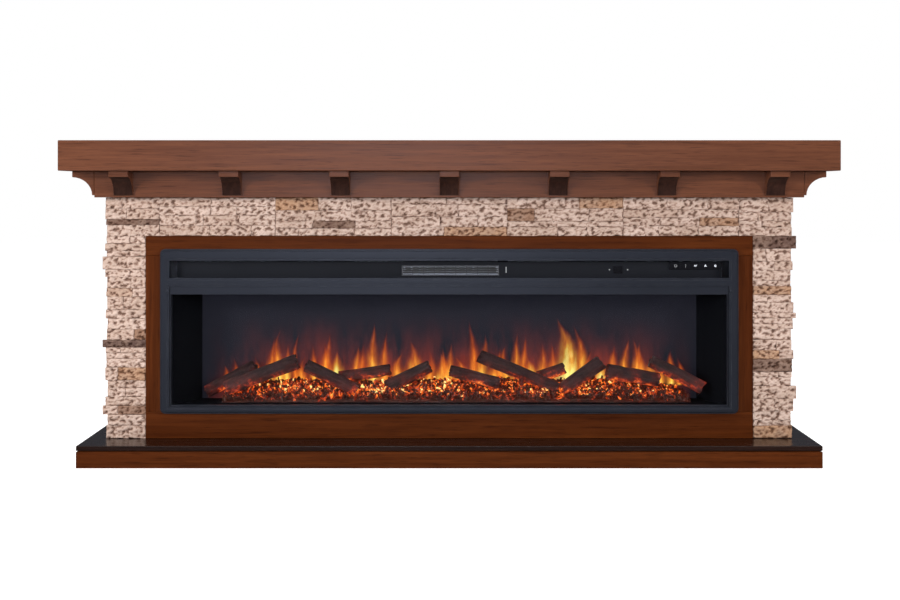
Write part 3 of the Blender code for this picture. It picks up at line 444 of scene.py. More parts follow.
@dataclass(frozen=True)
class StoneFinish:
    """Split stone with a tone for each block, from cream through tan to umber."""

    name: str = "split_stone"

    def build(self) -> bpy.types.Material:
        """Returns the material."""
        paint = Paint(self.name)
        wiring = paint.wiring
        tone = wiring.add("Attribute", attribute_name="tone").outputs["Fac"]
        hollow = wiring.add("Attribute", attribute_name="hollow").outputs["Fac"]
        cloud = wiring.add(
            "TexNoise", {"Vector": paint.place, "Scale": 24.0, "Detail": 6.0, "Roughness": 0.62}
        )
        grit = wiring.add(
            "TexNoise", {"Vector": paint.place, "Scale": 300.0, "Detail": 5.0, "Roughness": 0.75}
        )
        chip = wiring.add(
            "TexNoise",
            {"Vector": paint.stretched((72.0, 72.0, 96.0)), "Scale": 1.0, "Detail": 3.0, "Roughness": 0.6},
        )
        base = wiring.ramp(tone, (
            (0.00, (0.64, 0.49, 0.415)), (0.38, (0.54, 0.395, 0.32)), (0.60, (0.47, 0.28, 0.17)),
            (0.78, (0.24, 0.14, 0.10)), (1.00, (0.075, 0.045, 0.04)),
        ))
        # Painted shade: shade paints broad mid-brown patches, and pit paints darker brown into the pits of the
        # bump.
        shade = wiring.math("MULTIPLY", wiring.span(cloud.outputs[0], 0.44, 0.64), 0.46)
        colour = wiring.mix(shade, base, (0.42, 0.29, 0.22))
        pit = wiring.math(
            "MULTIPLY",
            wiring.span(chip.outputs[0], 0.46, 0.34),
            wiring.span(cloud.outputs[0], 0.36, 0.60, 0.35, 0.85),
        )
        colour = wiring.mix(wiring.math("MULTIPLY", pit, 0.22), colour, (0.31, 0.205, 0.155))
        colour = wiring.mix(
            wiring.math("MULTIPLY", wiring.span(grit.outputs[0], 0.55, 0.75), 0.14),
            colour,
            (0.86, 0.74, 0.66),
        )
        # Painted shade: the hollow attribute darkens hollows, ledge undersides, the sides of stones and the mortar.
        colour = wiring.mix(wiring.span(hollow, 0.0, 0.50, 0.0, 0.85), colour, (0.56, 0.47, 0.43), "MULTIPLY")
        colour = wiring.mix(wiring.span(hollow, 0.66, 1.0, 0.0, 0.80), colour, (0.26, 0.20, 0.17), "MULTIPLY")
        worn = paint.group(WEAR, Amount=0.14)
        colour = wiring.mix(worn.outputs["Mask"], colour, (0.86, 0.74, 0.66))
        paint.set(
            Base_Color=colour,
            Roughness=wiring.span(grit.outputs[0], 0.2, 0.8, 0.80, 0.97),
            Specular_IOR_Level=0.2,
        )
        height = wiring.math(
            "ADD",
            wiring.math("MULTIPLY", chip.outputs[0], 0.5),
            wiring.math("MULTIPLY", grit.outputs[0], 0.6),
        )
        height = wiring.math("SUBTRACT", height, wiring.math("MULTIPLY", pit, 0.5))
        paint.relief(height, 0.8, 0.0020)
        return paint.material


@dataclass(frozen=True)
class SteelFinish:
    """Powder-coated or plated sheet."""

    name: str
    colour: tuple[float, float, float]
    roughness: float
    metallic: float
    peel: float = 420.0
    bump: float = 0.10
    coat: float = 0.0
    worn: tuple[float, float, float] = (0.30, 0.31, 0.33)
    wear: float = 0.25
    dust: float = 0.04
    shine: float = 0.5

    def build(self) -> bpy.types.Material:
        """Returns the material."""
        paint = Paint(self.name)
        wiring = paint.wiring
        skin = paint.group(SPECKLE, Scale=self.peel)
        lighter = tuple(value * 1.07 for value in self.colour)
        darker = tuple(value * 0.94 for value in self.colour)
        colour = wiring.mix(wiring.span(skin.outputs["Cloud"], 0.35, 0.65), darker, lighter)
        worn = paint.group(WEAR, Amount=self.wear)
        colour = wiring.mix(worn.outputs["Mask"], colour, self.worn)
        dusty = paint.group(DUST, Amount=self.dust)
        colour = wiring.mix(dusty.outputs["Mask"], colour, (0.30, 0.29, 0.28))
        rough = wiring.span(skin.outputs["Cloud"], 0.3, 0.7, self.roughness - 0.02, self.roughness + 0.03)
        paint.set(
            Base_Color=colour,
            Roughness=rough,
            Metallic=self.metallic,
            Coat_Weight=self.coat,
            Coat_Roughness=0.12,
        )
        paint.set(Specular_IOR_Level=self.shine)
        paint.relief(skin.outputs["Height"], self.bump, 0.0002)
        return paint.material


@dataclass(frozen=True)
class PlasticFinish:
    """Moulded plastic, matt or polished."""

    name: str
    colour: tuple[float, float, float]
    roughness: float
    grit: float = 900.0
    bump: float = 0.08

    def build(self) -> bpy.types.Material:
        """Returns the material."""
        paint = Paint(self.name)
        wiring = paint.wiring
        skin = paint.group(SPECKLE, Scale=self.grit)
        colour = wiring.mix(
            wiring.span(skin.outputs["Cloud"], 0.3, 0.7),
            self.colour,
            tuple(value * 1.35 + 0.002 for value in self.colour),
        )
        rough = wiring.span(skin.outputs["Cloud"], 0.3, 0.7, self.roughness, self.roughness * 1.4)
        paint.set(Base_Color=colour, Roughness=rough)
        paint.relief(skin.outputs["Height"], self.bump, 0.0002)
        return paint.material


@dataclass(frozen=True)
class PaneFinish:
    """Clear toughened glass that lets the light of the fire through."""

    name: str = "window_pane"

    def build(self) -> bpy.types.Material:
        """Returns the material."""
        paint = Paint(self.name)
        wiring = paint.wiring
        smear = wiring.add("TexNoise", {"Vector": paint.place, "Scale": 3.0, "Detail": 4.0})
        rough = wiring.span(smear.outputs[0], 0.35, 0.75, 0.0, 0.012)
        paint.set(Base_Color=(0.90, 0.92, 0.93), Roughness=rough, Transmission_Weight=1.0, IOR=1.14)
        paint.shader.inputs["Metallic"].default_value = 0.0
        clear = wiring.add("BsdfTransparent", {"Color": (0.94, 0.95, 0.95, 1.0)})
        path = wiring.add("LightPath")
        passing = wiring.math("MAXIMUM", path.outputs["Is Shadow Ray"], path.outputs["Is Diffuse Ray"])
        join = wiring.add("MixShader", {0: passing, 1: paint.shader.outputs[0], 2: clear.outputs[0]})
        wiring.tree.links.new(join.outputs[0], paint.output.inputs["Surface"])
        return paint.material


@dataclass(frozen=True)
class ScreenFinish:
    """Smoked flame screen with a soft red haze where the fire shows through."""

    name: str = "smoked_screen_glow"
    floor_z: float = 0.15
    top_z: float = 0.40

    def build(self) -> bpy.types.Material:
        """Returns the material."""
        paint = Paint(self.name)
        wiring = paint.wiring
        parts = wiring.add("SeparateXYZ", {0: paint.place})
        rise = wiring.span(parts.outputs[2], self.floor_z, self.top_z, 1.0, 0.0)
        rise = wiring.math("POWER", rise, 2.6)
        side = wiring.span(wiring.math("ABSOLUTE", parts.outputs[0]), 0.66, 0.40)
        tongues = wiring.add(
            "TexNoise",
            {"Vector": paint.stretched((16.0, 1.0, 5.0)), "Scale": 1.0, "Detail": 5.0, "Roughness": 0.6},
        )
        haze = wiring.math(
            "MULTIPLY", wiring.math("MULTIPLY", rise, side), wiring.span(tongues.outputs[0], 0.36, 0.72)
        )
        glow = wiring.mix(haze, (0.004, 0.004, 0.006), (0.62, 0.060, 0.014))
        skin = paint.group(SPECKLE, Scale=300.0)
        base = wiring.mix(skin.outputs["Cloud"], (0.014, 0.014, 0.019), (0.019, 0.018, 0.024))
        paint.set(Base_Color=base, Roughness=0.45, Specular_IOR_Level=0.0)
        paint.set(Emission_Color=glow, Emission_Strength=1.7)
        return paint.material


@dataclass(frozen=True)
class EmberFinish:
    """Translucent chips lit from below, hottest in their hollows."""

    name: str = "glowing_embers"
    strength: float = 1.45

    def build(self) -> bpy.types.Material:
        """Returns the material."""
        paint = Paint(self.name)
        wiring = paint.wiring
        warmth = wiring.add("Attribute", attribute_name="warmth").outputs["Fac"]
        heat = paint.group(HEAT, Scale=70.0, Heat=warmth)
        crust = wiring.add(
            "TexNoise", {"Vector": paint.place, "Scale": 120.0, "Detail": 5.0, "Roughness": 0.7}
        )
        colour = wiring.mix(
            wiring.span(crust.outputs[0], 0.40, 0.62), (0.010, 0.004, 0.003), (0.050, 0.013, 0.006)
        )
        paint.set(
            Base_Color=colour,
            Roughness=0.62,
            Emission_Color=heat.outputs["Color"],
            Emission_Strength=self.strength,
        )
        paint.relief(crust.outputs[0], 0.5, 0.002)
        return paint.material


@dataclass(frozen=True)
class LogFinish:
    """Charred bark: ash on the ridges, black in the furrows, a red glow low down."""

    name: str = "charred_bark"
    strength: float = 1.0

    def build(self) -> bpy.types.Material:
        """Returns the material."""
        paint = Paint(self.name)
        wiring = paint.wiring
        furrow = wiring.add("Attribute", attribute_name="furrow").outputs["Fac"]
        under = wiring.add("Attribute", attribute_name="under").outputs["Fac"]
        cloud = wiring.add(
            "TexNoise", {"Vector": paint.place, "Scale": 34.0, "Detail": 6.0, "Roughness": 0.65}
        )
        grit = wiring.add(
            "TexNoise", {"Vector": paint.place, "Scale": 240.0, "Detail": 4.0, "Roughness": 0.7}
        )
        ridge = wiring.mix(
            wiring.span(cloud.outputs[0], 0.38, 0.66), (0.018, 0.006, 0.006), (0.038, 0.018, 0.018)
        )
        colour = wiring.mix(furrow, ridge, (0.006, 0.004, 0.004))
        colour = wiring.mix(
            wiring.math("MULTIPLY", wiring.span(grit.outputs[0], 0.55, 0.75), 0.4),
            colour,
            (0.060, 0.036, 0.034),
        )
        heat = paint.group(HEAT, Scale=110.0, Heat=under)
        glow = wiring.mix(
            1.0, heat.outputs["Color"], wiring.mix(under, (0.006, 0.002, 0.002), (0.085, 0.010, 0.006)), "ADD"
        )
        paint.set(Base_Color=colour, Roughness=0.86, Emission_Color=glow, Emission_Strength=self.strength)
        paint.relief(
            wiring.math("ADD", wiring.math("MULTIPLY", cloud.outputs[0], 0.8), grit.outputs[0]), 0.7, 0.0022
        )
        return paint.material


@dataclass(frozen=True)
class FlameFinish:
    """A tongue of flame: yellow at its foot, orange, then a faint red tip with soft edges."""

    name: str = "flame_light"
    strength: float = 1.60

    def build(self) -> bpy.types.Material:
        """Returns the material."""
        paint = Paint(self.name)
        wiring = paint.wiring
        uv = wiring.add("SeparateXYZ", {0: wiring.add("UVMap", uv_map="tongue").outputs[0]})
        across = uv.outputs[0]
        up = uv.outputs[1]
        warmth = wiring.add("Attribute", attribute_name="warmth").outputs["Fac"]
        lick = wiring.add(
            "TexNoise", {"Vector": paint.stretched((90.0, 20.0, 26.0)), "Scale": 1.0, "Detail": 4.0}
        )
        core = wiring.math(
            "SUBTRACT",
            1.0,
            wiring.math("ABSOLUTE", wiring.math("SUBTRACT", wiring.math("MULTIPLY", across, 2.0), 1.0)),
        )
        fade = wiring.math("SUBTRACT", 1.0, up)
        heat = wiring.math("ADD", wiring.math("MULTIPLY", fade, 0.84), wiring.math("MULTIPLY", core, 0.30))
        heat = wiring.math("ADD", heat, wiring.span(lick.outputs[0], 0.3, 0.7, -0.12, 0.12))
        heat = wiring.math("MULTIPLY", heat, warmth)
        colour = wiring.ramp(heat, (
            (0.00, (0.08, 0.006, 0.002)), (0.26, (0.30, 0.030, 0.006)), (0.48, (0.72, 0.120, 0.012)),
            (0.70, (0.98, 0.30, 0.030)), (0.88, (1.0, 0.55, 0.07)), (1.00, (1.0, 0.84, 0.22)),
        ))
        soft = wiring.math("POWER", wiring.span(core, 0.0, 0.95), 1.6)
        body = wiring.math("MULTIPLY", soft, wiring.math("POWER", fade, 0.85))
        body = wiring.math("MULTIPLY", body, wiring.span(lick.outputs[0], 0.25, 0.60, 0.55, 1.0))
        foot = wiring.span(up, 0.0, 0.06)
        body = wiring.math("MULTIPLY", body, foot, clamp=True)
        paint.set(Base_Color=(0.0, 0.0, 0.0), Roughness=1.0, Specular_IOR_Level=0.0)
        paint.set(Emission_Color=colour, Emission_Strength=self.strength, Alpha=body)
        return paint.material


@dataclass(frozen=True)
class MarkFinish:
    """The small lit marks on the controls."""

    name: str
    colour: tuple[float, float, float]
    strength: float

    def build(self) -> bpy.types.Material:
        """Returns the material."""
        paint = Paint(self.name)
        wiring = paint.wiring
        spot = wiring.add("TexNoise", {"Vector": paint.place, "Scale": 900.0, "Detail": 2.0})
        glow = wiring.mix(
            wiring.span(spot.outputs[0], 0.3, 0.7), tuple(value * 0.8 for value in self.colour), self.colour
        )
        paint.set(
            Base_Color=(0.3, 0.3, 0.3), Roughness=0.4, Emission_Color=glow, Emission_Strength=self.strength
        )
        return paint.material


@dataclass(frozen=True)
class RawBoardFinish:
    """Uncoated fibre board of the hidden carcass."""

    name: str = "raw_board"

    def build(self) -> bpy.types.Material:
        """Returns the material."""
        paint = Paint(self.name)
        wiring = paint.wiring
        flake = wiring.add(
            "TexNoise",
            {"Vector": paint.stretched((60.0, 240.0, 90.0)), "Scale": 1.0, "Detail": 6.0, "Roughness": 0.7},
        )
        cloud = paint.group(SPECKLE, Scale=700.0)
        colour = wiring.mix(wiring.span(flake.outputs[0], 0.35, 0.65), (0.36, 0.25, 0.15), (0.52, 0.39, 0.26))
        colour = wiring.mix(wiring.math("MULTIPLY", cloud.outputs["Cloud"], 0.3), colour, (0.28, 0.20, 0.13))
        paint.set(Base_Color=colour, Roughness=0.82)
        paint.relief(flake.outputs[0], 0.3, 0.0006)
        return paint.material


@dataclass(frozen=True)
class CircuitFinish:
    """Green solder resist with copper tracks."""

    name: str = "circuit_green"

    def build(self) -> bpy.types.Material:
        """Returns the material."""
        paint = Paint(self.name)
        wiring = paint.wiring
        tracks = wiring.add(
            "TexBrick", {"Vector": paint.stretched((60.0, 60.0, 60.0), (math.pi / 2, 0, 0)), "Scale": 3.0}
        )
        colour = wiring.mix(tracks.outputs["Fac"], (0.012, 0.10, 0.035), (0.05, 0.22, 0.08))
        paint.set(Base_Color=colour, Roughness=0.42)
        paint.relief(tracks.outputs["Fac"], 0.2, 0.0003)
        return paint.material


# ---------------------------------------------------------------- mesh helpers


def add_piece(
    name: str, bm: bmesh.types.BMesh, materials: Iterable[bpy.types.Material],
    replaces: Sequence[str] = (), body: str = ROOT, smooth: float | None = 40.0, keep_normals: bool = False,
    even: bool = False,
) -> bpy.types.Object:
    """Turns a bmesh into a finished piece on its body.

    Args:
        name: The piece's name.
        bm: Its shape, in the frame's own place; it is freed.
        materials: Its materials, in slot order.
        replaces: CAD nodes that it stands for.
        body: The body that it rides on.
        smooth: The angle in degrees above which an edge is drawn sharp, or None for flat faces.
        keep_normals: True for open strips, whose faces already point the right way.
        even: True to keep flat faces flat beside rounded edges.

    Returns:
        The new object.
    """
    if not keep_normals:
        bmesh.ops.recalc_face_normals(bm, faces=bm.faces)
    mesh = bpy.data.meshes.new(name)
    bm.to_mesh(mesh)
    bm.free()
    for material in materials:
        mesh.materials.append(material)
    if smooth is not None:
        mesh.shade_smooth()
        mesh.set_sharp_from_angle(angle=math.radians(smooth))
    piece = bpy.data.objects.new(name, mesh)
    bpy.context.scene.collection.objects.link(piece)
    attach(piece, body)
    if replaces:
        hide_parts(*replaces)
    if even:
        modifier = piece.modifiers.new("even_normals", "WEIGHTED_NORMAL")
        modifier.keep_sharp = True
    return piece


def add_block(bm: bmesh.types.BMesh, low: Sequence[float], high: Sequence[float]) -> list[bmesh.types.BMVert]:
    """Adds a box between two corners and returns its points.

    Args:
        bm: The shape.
        low: The lowest corner.
        high: The highest corner.

    Returns:
        The points of the box.
    """
    size = [b - a for a, b in zip(low, high)]
    middle = [(a + b) / 2 for a, b in zip(low, high)]
    matrix = Matrix.Translation(middle) @ Matrix.Diagonal((*size, 1.0))
    return bmesh.ops.create_cube(bm, size=1.0, matrix=matrix)["verts"]


def round_edges(
    bm: bmesh.types.BMesh, edges: Iterable[bmesh.types.BMEdge], width: float, segments: int = 3
) -> None:
    """Rounds the given edges."""
    bmesh.ops.bevel(
        bm,
        geom=list(edges),
        offset=width,
        segments=segments,
        profile=0.5,
        affect="EDGES",
        material=-1,
        clamp_overlap=True,
    )


def outward_edges(bm: bmesh.types.BMesh, least: float = 0.5) -> list[bmesh.types.BMEdge]:
    """Returns the edges that stick out by more than an angle in radians.

    Args:
        bm: The shape.
        least: The least angle.

    Returns:
        The edges.
    """
    bm.normal_update()
    return [edge for edge in bm.edges if edge.calc_face_angle_signed(0.0) > least]


def from_node(node: str) -> bmesh.types.BMesh:
    """Returns a clean copy of a CAD node's shape, with its triangles merged into flat faces.

    Args:
        node: The name of the node.

    Returns:
        The shape.
    """
    bm = bmesh.new()
    bm.from_mesh(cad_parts[node].data)
    bmesh.ops.remove_doubles(bm, verts=bm.verts, dist=0.00002)
    bmesh.ops.dissolve_limit(bm, angle_limit=0.012, verts=bm.verts, edges=bm.edges)
    return bm


def dress(node: str, material: bpy.types.Material) -> None:
    """Gives a CAD node a better material.

    Args:
        node: The name of the node.
        material: The material.
    """
    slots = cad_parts[node].data.materials
    slots.clear()
    slots.append(material)


# ---------------------------------------------------------------- mantel


@dataclass
class Woodwork:
    """The shelf, frieze, corbels, surround and base, with softened edges."""

    shelf: tuple[WoodFinish, WoodFinish]
    cove: WoodFinish
    body: tuple[WoodFinish, WoodFinish, WoodFinish]
    hearth: WoodFinish
    shelf_round: float = 0.0012
    rail_round: float = 0.0008
    corbel_round: float = 0.0016
    fillet: float = 0.0150

    def build(self) -> int:
        """Builds each board.

        Returns:
            The number of pieces made.
        """
        shelf = [finish.build() for finish in self.shelf]
        cove = self.cove.build()
        dark = [finish.build() for finish in self.body]
        self.board("shelf_fascia", shelf, self.shelf_round, side=1)
        self.board("shelf_top_board", shelf, self.rail_round)
        self.board("shelf_soffit", shelf, self.rail_round)
        self.board("frieze", shelf, self.rail_round, side=1)
        for name in [f"corbel_{number}" for number in range(1, 8)] + ["corbel_end_left", "corbel_end_right"]:
            self.corbel(name, [*shelf, cove])
        self.board("surround_top_rail", dark, self.rail_round)
        self.board("surround_bottom_rail", dark, self.rail_round)
        self.board("surround_stile_left", dark[2:], self.rail_round)
        self.board("surround_stile_right", dark[2:], self.rail_round)
        self.board("base_top", [self.hearth.build()], self.shelf_round)
        self.board("base_plinth", dark, self.rail_round, side=1)
        return 19

    def board(
        self, node: str, materials: Sequence[bpy.types.Material], width: float, side: int = 0
    ) -> None:
        """Builds one board from its node.

        Args:
            node: The CAD node.
            materials: The finishes, along X first and along Y second.
            width: The radius of its edges.
            side: The material number of the faces that look along X.
        """
        bm = from_node(node)
        round_edges(bm, outward_edges(bm, 0.3), width, 2)
        bm.normal_update()
        for face in bm.faces:
            face.material_index = side if abs(face.normal.x) > 0.7 else 0
        add_piece(node + "_wood", bm, materials, [node], even=True)

    def corbel(self, node: str, materials: Sequence[bpy.types.Material]) -> None:
        """Builds one corbel: a square fillet over a smooth hollow.

        Args:
            node: The name of the node.
            materials: The materials for its faces.
        """
        bm = from_node(node)
        sharp = [edge for edge in outward_edges(bm, 0.6) if edge.calc_length() > 0.008]
        round_edges(bm, sharp, self.corbel_round, 2)
        bm.normal_update()
        low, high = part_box(node)
        end = node.startswith("corbel_end")
        # The cove and the faces that look down take the much darker cove walnut: painted shade, with its grain
        # running up.
        for face in bm.faces:
            middle = face.calc_center_median()
            side = abs(face.normal.y) > 0.7 if end else abs(face.normal.x) > 0.7
            hollow = face.normal.z < -0.05 and high.z - middle.z > self.fillet
            inner = middle.y < high.y - 0.002 and not side and not end
            face.material_index = 2 if (hollow and inner) or face.normal.z < -0.6 else (
                1 if side and not end else 0
            )
        add_piece(node + "_wood", bm, materials, [node], smooth=28.0, even=True)


@dataclass
class StoneWall:
    """Ledge stone: courses of split blocks, each with its own rough face, tone and length."""

    material: bpy.types.Material
    course: float = 0.0246
    joint: float = 0.0002
    ragged: float = 0.0003
    cell: float = 0.0024
    side_cell: float = 0.0055
    deepest: float = 0.0092
    mortar: float = 0.0115
    relief: float = 0.0044
    crevice: float = 0.0020
    # Painted shade in the stone colour: under a ledge, and in a cavity lower than what is round it.
    ledge_shade: float = 0.40
    cavity_shade: float = 0.62
    ledge: float = 0.0012
    reach: int = 3
    broad_pitch: float = 38
    rough_pitch: tuple[float, float] = (95, 125)
    fine_pitch: tuple[float, float] = (210, 260)
    weights: tuple[float, ...] = (0.62, 0.85, 1.0, 1.2, 1.45)
    proud: float = 0.0105

    # Stones that stand out from the cream ones: their middle along X and Z, and their tone.
    accents = (
        (-0.806, 0.633, 0.90), (-0.895, 0.633, 0.86), (-0.392, 0.665, 0.60), (-0.304, 0.610, 0.88),
        (0.118, 0.608, 0.58), (0.166, 0.636, 0.72), (0.381, 0.667, 0.62), (0.702, 0.635, 0.66),
        (0.877, 0.580, 0.92), (0.826, 0.455, 0.62), (0.885, 0.455, 0.74), (0.866, 0.287, 0.60),
        (0.824, 0.258, 0.90), (0.819, 0.090, 0.60), (0.868, 0.066, 0.92), (-0.876, 0.310, 0.95),
        (-0.818, 0.323, 0.72), (-0.868, 0.211, 0.62), (-0.829, 0.126, 0.76),
    )
    # Heights at which a stone stands out sideways, on the left and on the right column.
    left_ledges = (0.505, 0.310, 0.121)
    right_ledges = (0.579, 0.385, 0.190)

    def build(self) -> int:
        """Builds every stone panel.

        Returns:
            The number of stones laid.
        """
        laid = 0
        for number in range(1, 6):
            laid += self.panel(f"stone_header_{number}", number)
        laid += self.column("stone_column_left", Facing.LEFT, 17)
        laid += self.column("stone_column_right", Facing.RIGHT, 29)
        return laid

    def tone_at(self, low: Sequence[float], high: Sequence[float], chance: random.Random) -> float:
        """Returns the tone of the stone between two corners of its face, as (X, Z).

        Args:
            low: The lowest corner.
            high: The highest corner.
            chance: The source of variation.

        Returns:
            The tone, from 0 for cream to 1 for umber.
        """
        for x, z, tone in self.accents:
            if low[0] <= x <= high[0] and low[1] <= z <= high[1]:
                return tone
        return min(0.45, abs(chance.gauss(0.10, 0.13)))

    def panel(self, node: str, seed: int) -> int:
        """Builds one header panel and returns its number of stones.

        Args:
            node: The name of the node.
            seed: Picks its stones.

        Returns:
            The number of stones.
        """
        low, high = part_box(node)
        chance = random.Random(seed * 13)
        bm = self.start()
        add_block(bm, (low.x, low.y + self.mortar, low.z), (high.x, high.y, high.z))
        self.shade_backing(bm)
        count = self.wall(bm, Facing.FRONT, (low.x, low.z), (high.x, high.z), low.y, chance, 0.110)
        add_piece(node + "_face", bm, [self.material], [node], smooth=62.0)
        return count

    def column(self, node: str, facing: Facing, seed: int) -> int:
        """Builds one column with its side return and returns its number of stones.

        Args:
            node: The name of the node.
            facing: The side on which it turns the corner.
            seed: Picks its stones.

        Returns:
            The number of stones.
        """
        low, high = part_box(node)
        side = facing.value
        chance = random.Random(seed)
        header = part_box("stone_header_1")[0].z
        outer = high.x if side > 0 else low.x
        wide = low.x if side > 0 else high.x
        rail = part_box("surround_top_rail")
        narrow = rail[1].x + 0.0006 if side > 0 else rail[0].x - 0.0006
        front = low.y
        bm = self.start()
        spans = ((narrow, low.z, header), (wide, header, high.z))
        for inner, floor, top in spans:
            edges = sorted((inner, outer - side * self.mortar))
            add_block(bm, (edges[0], front + self.mortar, floor), (edges[1], front + 0.0218, top))
        edges = sorted((outer - side * self.mortar, outer - side * 0.0215))
        add_block(bm, (edges[0], front + self.mortar, low.z), (edges[1], high.y, high.z))
        self.shade_backing(bm)
        count = 0
        for inner, floor, top in spans:
            edges = sorted((inner, outer))
            count += self.wall(
                bm, Facing.FRONT, (edges[0], floor), (edges[1], top), front, chance, 0.070, facing
            )
        side_from = front + self.mortar + 0.0012
        count += self.wall(bm, facing, (side_from, low.z), (high.y, high.z), outer, chance, 0.12)
        add_piece(node + "_face", bm, [self.material], [node], smooth=62.0)
        return count

    def start(self) -> bmesh.types.BMesh:
        """Returns an empty shape with its tone and its hollow value, which holds painted shade."""
        bm = bmesh.new()
        bm.verts.layers.float.new("tone")
        bm.verts.layers.float.new("hollow")
        return bm

    def shade_backing(self, bm: bmesh.types.BMesh) -> None:
        """Makes the mortar behind the stones dark: an umber tone of its own, and painted shade through its hollow
        value.

        Args:
            bm: The shape.
        """
        tone = bm.verts.layers.float["tone"]
        hollow = bm.verts.layers.float["hollow"]
        for vert in bm.verts:
            vert[tone] = 0.8
            vert[hollow] = 0.9

    def wall(
        self, bm: bmesh.types.BMesh, facing: Facing, low: Sequence[float], high: Sequence[float],
        face: float, chance: random.Random, length: float, corner: Facing | None = None,
    ) -> int:
        """Lays courses of stones over a rectangle.

        Args:
            bm: The shape that the stones are added to.
            facing: The way that they face.
            low: The lowest corner, along the wall and up.
            high: The highest corner.
            face: The plane of the proudest stone.
            chance: The source of variation.
            length: The usual length of a stone.
            corner: The side on which the last stone ends at the wall's corner, if it does.

        Returns:
            The number of stones.
        """
        rows = max(1, round((high[1] - low[1]) / self.course))
        weights = [chance.choice(self.weights) for _ in range(rows)]
        ledges = self.right_ledges if corner is Facing.RIGHT else self.left_ledges
        floor = low[1]
        count = 0
        for weight in weights:
            top = floor + (high[1] - low[1]) * weight / sum(weights)
            stones = max(1, round((high[0] - low[0]) / length + chance.uniform(-0.6, 0.6)))
            shares = [chance.uniform(0.5, 1.6) for _ in range(stones)]
            reach = [low[0], high[0]]
            if corner is not None:
                out = self.proud if any(
                    floor <= level < top for level in ledges
                ) else chance.uniform(-0.0045, 0.0040)
                reach[1 if corner is Facing.RIGHT else 0] += corner.value * out
            start = reach[0]
            for share in shares:
                end = start + (reach[1] - reach[0]) * share / sum(shares)
                if facing is Facing.FRONT:
                    tone = self.tone_at((start, floor), (end, top), chance)
                else:
                    tone = min(0.85, abs(chance.gauss(0.12, 0.24)))
                self.stone(bm, facing, (start, floor), (end, top), face, tone, chance)
                start = end
                count += 1
            floor = top
        return count

    def sink(self, spot: Vector, margin: float) -> tuple[float, float]:
        """Works out how deep the split face lies at a point, and how much painted shade its hollow gets.

        Args:
            spot: The point in the stone's own pattern, in metres.
            margin: The distance to the stone's nearest edge.

        Returns:
            The depth behind the stone's plane, and the painted shade from 0 to 1.
        """
        broad = noise.noise(spot * self.broad_pitch)
        rough_along, rough_up = self.rough_pitch
        rough = noise.noise(Vector((spot.x * rough_along, spot.y * rough_up, spot.z + 4.0)))
        fine_along, fine_up = self.fine_pitch
        fine = noise.noise(Vector((spot.x * fine_along, spot.y * fine_up, spot.z + 9.0)))
        split = broad * 0.45 + rough * 0.85 + fine * 0.45
        pit = min(1.0, max(0.0, (-split - 0.16) / 0.34))
        broken = 0.0026 + 0.0022 * rough
        lost = max(0.0, 1.0 - margin / max(0.0008, broken)) ** 1.4 * min(1.0, max(0.0, 0.45 + broad * 1.6))
        depth = self.relief * (0.42 - split * 0.75) + self.crevice * pit + 0.0026 * lost
        # The second value is painted shade: darker where the split face lies deeper and at the broken edges.
        return depth, pit * 0.10 + lost * 0.06 + max(0.0, -rough) * 0.45 + max(0.0, -fine) * 0.30

    def ledge_and_cavity_shade(self, depths: dict[tuple[int, int], float], place: tuple[int, int]) -> float:
        """Works out how much painted shade a point gets: under a ledge, and where it lies lower than what is round
        it.

        Args:
            depths: The depth at each place on the stone.
            place: The column and row of the point.

        Returns:
            The painted shade, from 0 upwards.
        """
        column, row = place
        here = depths[place]
        reach = self.reach
        round_it = [depths.get((column + i, row + j), here) for i in (-reach, 0, reach) for j in (-reach, 0, reach)]
        cavity = max(0.0, here - sum(round_it) / len(round_it))
        under = max(0.0, here - depths.get((column, row + 1), here))
        return self.cavity_shade * min(
            1.0, cavity / self.ledge
        ) + self.ledge_shade * min(1.0, under / self.ledge)

    def stone(
        self, bm: bmesh.types.BMesh, facing: Facing, low: Sequence[float], high: Sequence[float],
        face: float, tone: float, chance: random.Random,
    ) -> None:
        """Adds one split stone: a rough face with broken edges, pulled back to a square block.

        Args:
            bm: The shape that it is added to.
            facing: The way that it faces.
            low: The lowest corner, along the wall and up.
            high: The highest corner.
            face: The plane of the proudest stone.
            tone: Its tone, from 0 for cream to 1 for umber.
            chance: The source of variation.
        """
        gap = self.joint / 2
        wide = high[0] - low[0] - 2 * gap
        tall = high[1] - low[1] - 2 * gap
        cell = self.cell if facing is Facing.FRONT else self.side_cell
        columns = max(4, round(wide / cell))
        rows = max(5, round(tall / cell))
        made = bmesh.ops.create_grid(bm, x_segments=columns, y_segments=rows, size=0.5)["verts"]
        seed = Vector((chance.uniform(0, 9), chance.uniform(0, 9), chance.uniform(0, 9)))
        back = chance.uniform(0.0, 0.0032)
        tilt = (chance.uniform(-1, 1) * 0.0014, chance.uniform(-1, 1) * 0.0010)
        tone_layer = bm.verts.layers.float["tone"]
        shade_layer = bm.verts.layers.float["hollow"]
        depths = {}
        places = {}
        for vert in made:
            u = vert.co.x + 0.5
            v = vert.co.y + 0.5
            along = u * wide
            up = v * tall
            margin = min(along, wide - along, up, tall - up)
            spot = seed + Vector((along, up, 0))
            depth, dark = self.sink(spot, margin)
            depth += back + tilt[0] * (u * 2 - 1) + tilt[1] * (v * 2 - 1)
            depth = min(max(depth, 0.0), self.deepest)
            places[vert] = (round(u * columns), round(v * rows))
            depths[places[vert]] = depth
            if margin < 1e-5:
                along = min(max(along + noise.noise(spot * 130) * self.ragged, 0.0), wide)
                up = min(max(up + noise.noise(spot * 140 + Vector((3, 3, 3))) * self.ragged, 0.0), tall)
            vert.co = Vector((low[0] + gap + along, -depth, low[1] + gap + up))
            vert[tone_layer] = tone
            # dark is painted shade, darker where the split face lies deeper.
            vert[shade_layer] = dark
